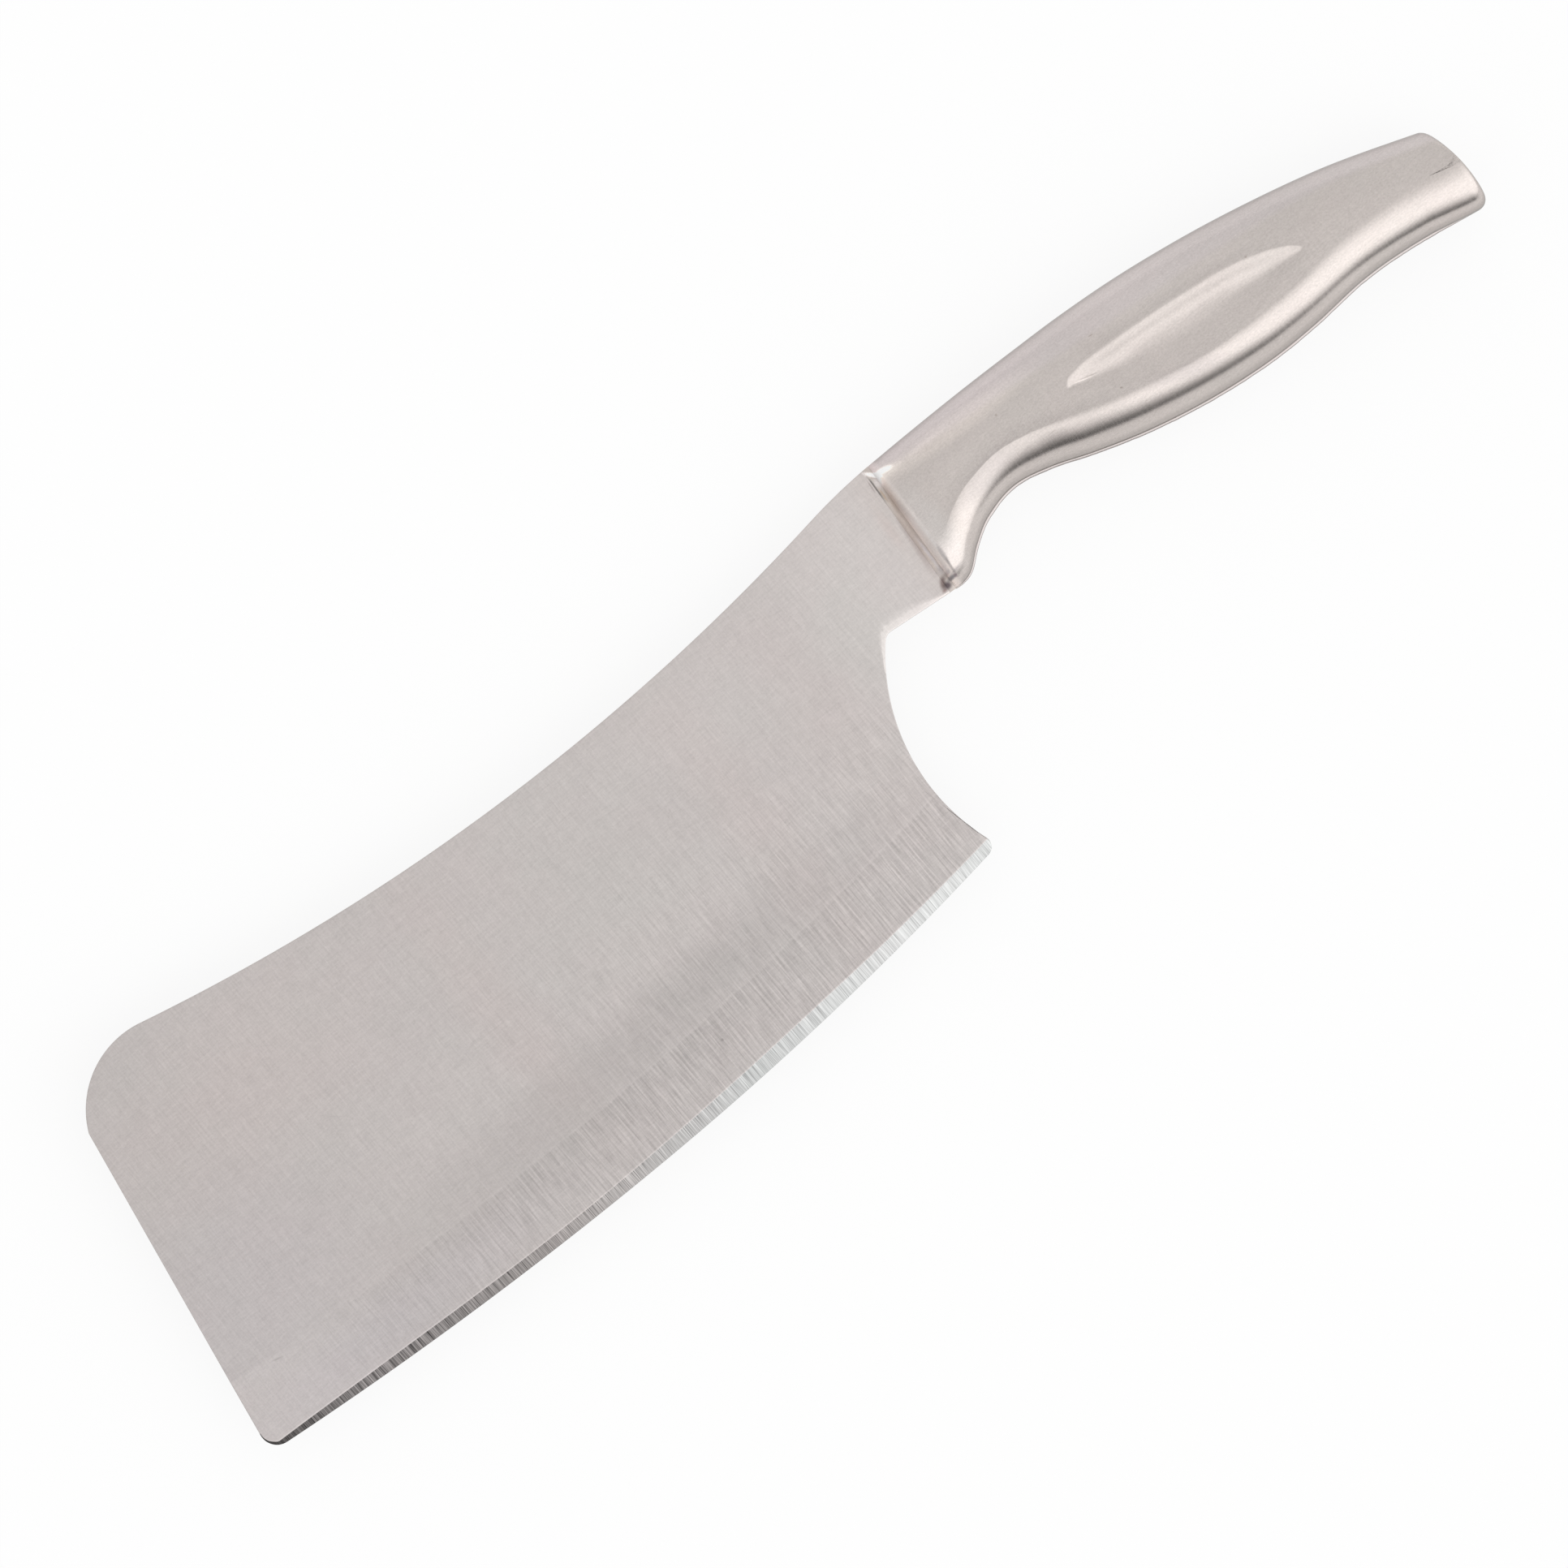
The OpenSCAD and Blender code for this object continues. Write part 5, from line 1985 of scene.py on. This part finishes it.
@dataclass
class Studio:
    """Camera, floor and room."""

    lens: float = 200.0
    sensor_w: float = 36.0
    sight: float = 20.0
    view_w: float = 0.276
    aim: tuple[float, float, float] = (-0.00844, -0.00174, 0.00875)
    turn_deg: float = -39.9
    floor_half: float = 2.5
    floor_tone: float = 0.92
    floor_white: float = 0.85
    room: Room = Room()

    def build(self) -> None:
        """Sets the studio up."""
        self.hang_camera()
        self.lay_floor()
        self.paint_room()
        bpy.context.scene.view_settings.view_transform = "Standard"

    def hang_camera(self) -> None:
        """Hangs the camera straight above, turned as in the photograph."""
        camera = bpy.data.cameras.new("camera")
        camera.lens = self.lens
        camera.sensor_width = self.sensor_w
        hung = bpy.data.objects.new("camera", camera)
        bpy.context.scene.collection.objects.link(hung)
        away = self.view_w * self.lens / self.sensor_w
        hung.location = (self.aim[0], self.aim[1], self.aim[2] + away)
        hung.rotation_euler = (0.0, 0.0, math.radians(self.turn_deg))
        camera.clip_end = self.sight
        bpy.context.scene.camera = hung

    def lay_floor(self) -> None:
        """Lays the plain pale floor, which looks whiter to the camera and in metal than it lights."""
        half = self.floor_half
        mesh = bpy.data.meshes.new("floor")
        corners = [(-half, -half, 0), (half, -half, 0), (half, half, 0), (-half, half, 0)]
        mesh.from_pydata(corners, [], [(0, 1, 2, 3)])
        floor = bpy.data.objects.new("floor", mesh)
        bpy.context.scene.collection.objects.link(floor)
        material = bpy.data.materials.new("pale_floor")
        material.use_nodes = True
        material.node_tree.nodes.clear()
        graph = Graph(material.node_tree)
        tone = (self.floor_tone, self.floor_tone, self.floor_tone, 1)
        matt = graph.result("ShaderNodeBsdfDiffuse", {"Color": tone})
        white = graph.result("ShaderNodeEmission", {"Color": WHITE})
        share = graph.product(self.seen_rays(graph), self.floor_white)
        seen = graph.result("ShaderNodeMixShader", {0: share, 1: matt, 2: white})
        graph.feed(graph.add("ShaderNodeOutputMaterial").inputs["Surface"], seen)
        mesh.materials.append(material)

    @staticmethod
    def seen_rays(graph: Graph) -> Socket:
        """Tells the rays that see the floor from those that it lights.

        Args:
            graph: The floor's graph.

        Returns:
            1 for rays from the camera, mirrors and glass.
        """
        rays = graph.add("ShaderNodeLightPath").outputs
        mirrored = graph.math("MAXIMUM", rays["Is Glossy Ray"], rays["Is Transmission Ray"])
        return graph.math("MAXIMUM", rays["Is Camera Ray"], mirrored)

    def light_level(self, graph: Graph) -> Socket:
        """How bright the room is in a direction.

        The even grey rises in a smooth step towards the near side, later where the direction is low
        and on the left. The gap is low on the near side, under a top that falls away to both sides,
        and its level rises to the right.

        Args:
            graph: The room's graph.

        Returns:
            The level.
        """
        room = self.room
        x, y, z = graph.split(graph.add("ShaderNodeTexCoord").outputs["Generated"])
        right, left = graph.math("MAXIMUM", x, 0.0), graph.math("MINIMUM", x, 0.0)
        near = graph.product(y, -1.0)
        short = graph.math("MINIMUM", graph.math("SUBTRACT", x, room.bright_right_of), 0.0)
        low = graph.ramp(near, room.bright_low_from, room.bright_low_to, 0.0, room.bright_right_slope)
        side = graph.ramp(graph.math("MULTIPLY_ADD", short, low, near), room.bright_from, room.bright_to)
        level = graph.math("MULTIPLY_ADD", side, room.bright, room.even)
        top = graph.math("MULTIPLY_ADD", right, room.gap_top_right, room.gap_top)
        top = graph.math("MULTIPLY_ADD", left, room.gap_top_left, top)
        top = graph.math("MAXIMUM", top, room.gap_top_least)
        gap = graph.product(
            graph.ramp(z, 0.0, top, 1.0, 0.0),
            graph.ramp(near, room.gap_from, room.gap_to),
            graph.ramp(x, room.gap_left_from, room.gap_left_to),
        )
        dim = graph.math("MULTIPLY_ADD", right, room.gap_level_right, room.gap_level)
        return graph.blend(gap, level, dim)

    def paint_room(self) -> None:
        """Paints the room: white to the camera, else lit by direction as `Room` says."""
        world = bpy.data.worlds.new("studio")
        bpy.context.scene.world = world
        world.use_nodes = True
        world.node_tree.nodes.clear()
        graph = Graph(world.node_tree)
        dome = graph.result("ShaderNodeBackground", {"Color": WHITE, "Strength": self.light_level(graph)})
        white = graph.result("ShaderNodeBackground", {"Color": WHITE})
        camera = graph.add("ShaderNodeLightPath").outputs["Is Camera Ray"]
        seen = graph.result("ShaderNodeMixShader", {0: camera, 1: dome, 2: white})
        graph.feed(graph.add("ShaderNodeOutputWorld").inputs["Surface"], seen)


def main() -> None:
    """Builds the knife and the studio round it."""
    logging.basicConfig(level=logging.INFO, format="%(name)s: %(message)s")
    finishes = Finishes()
    Blade().build(finishes)
    HandleShells().build(finishes)
    SeamWelds().build(finishes)
    NeckWelds().build(finishes)
    Studio().build()


if __name__ == "__main__":
    main()
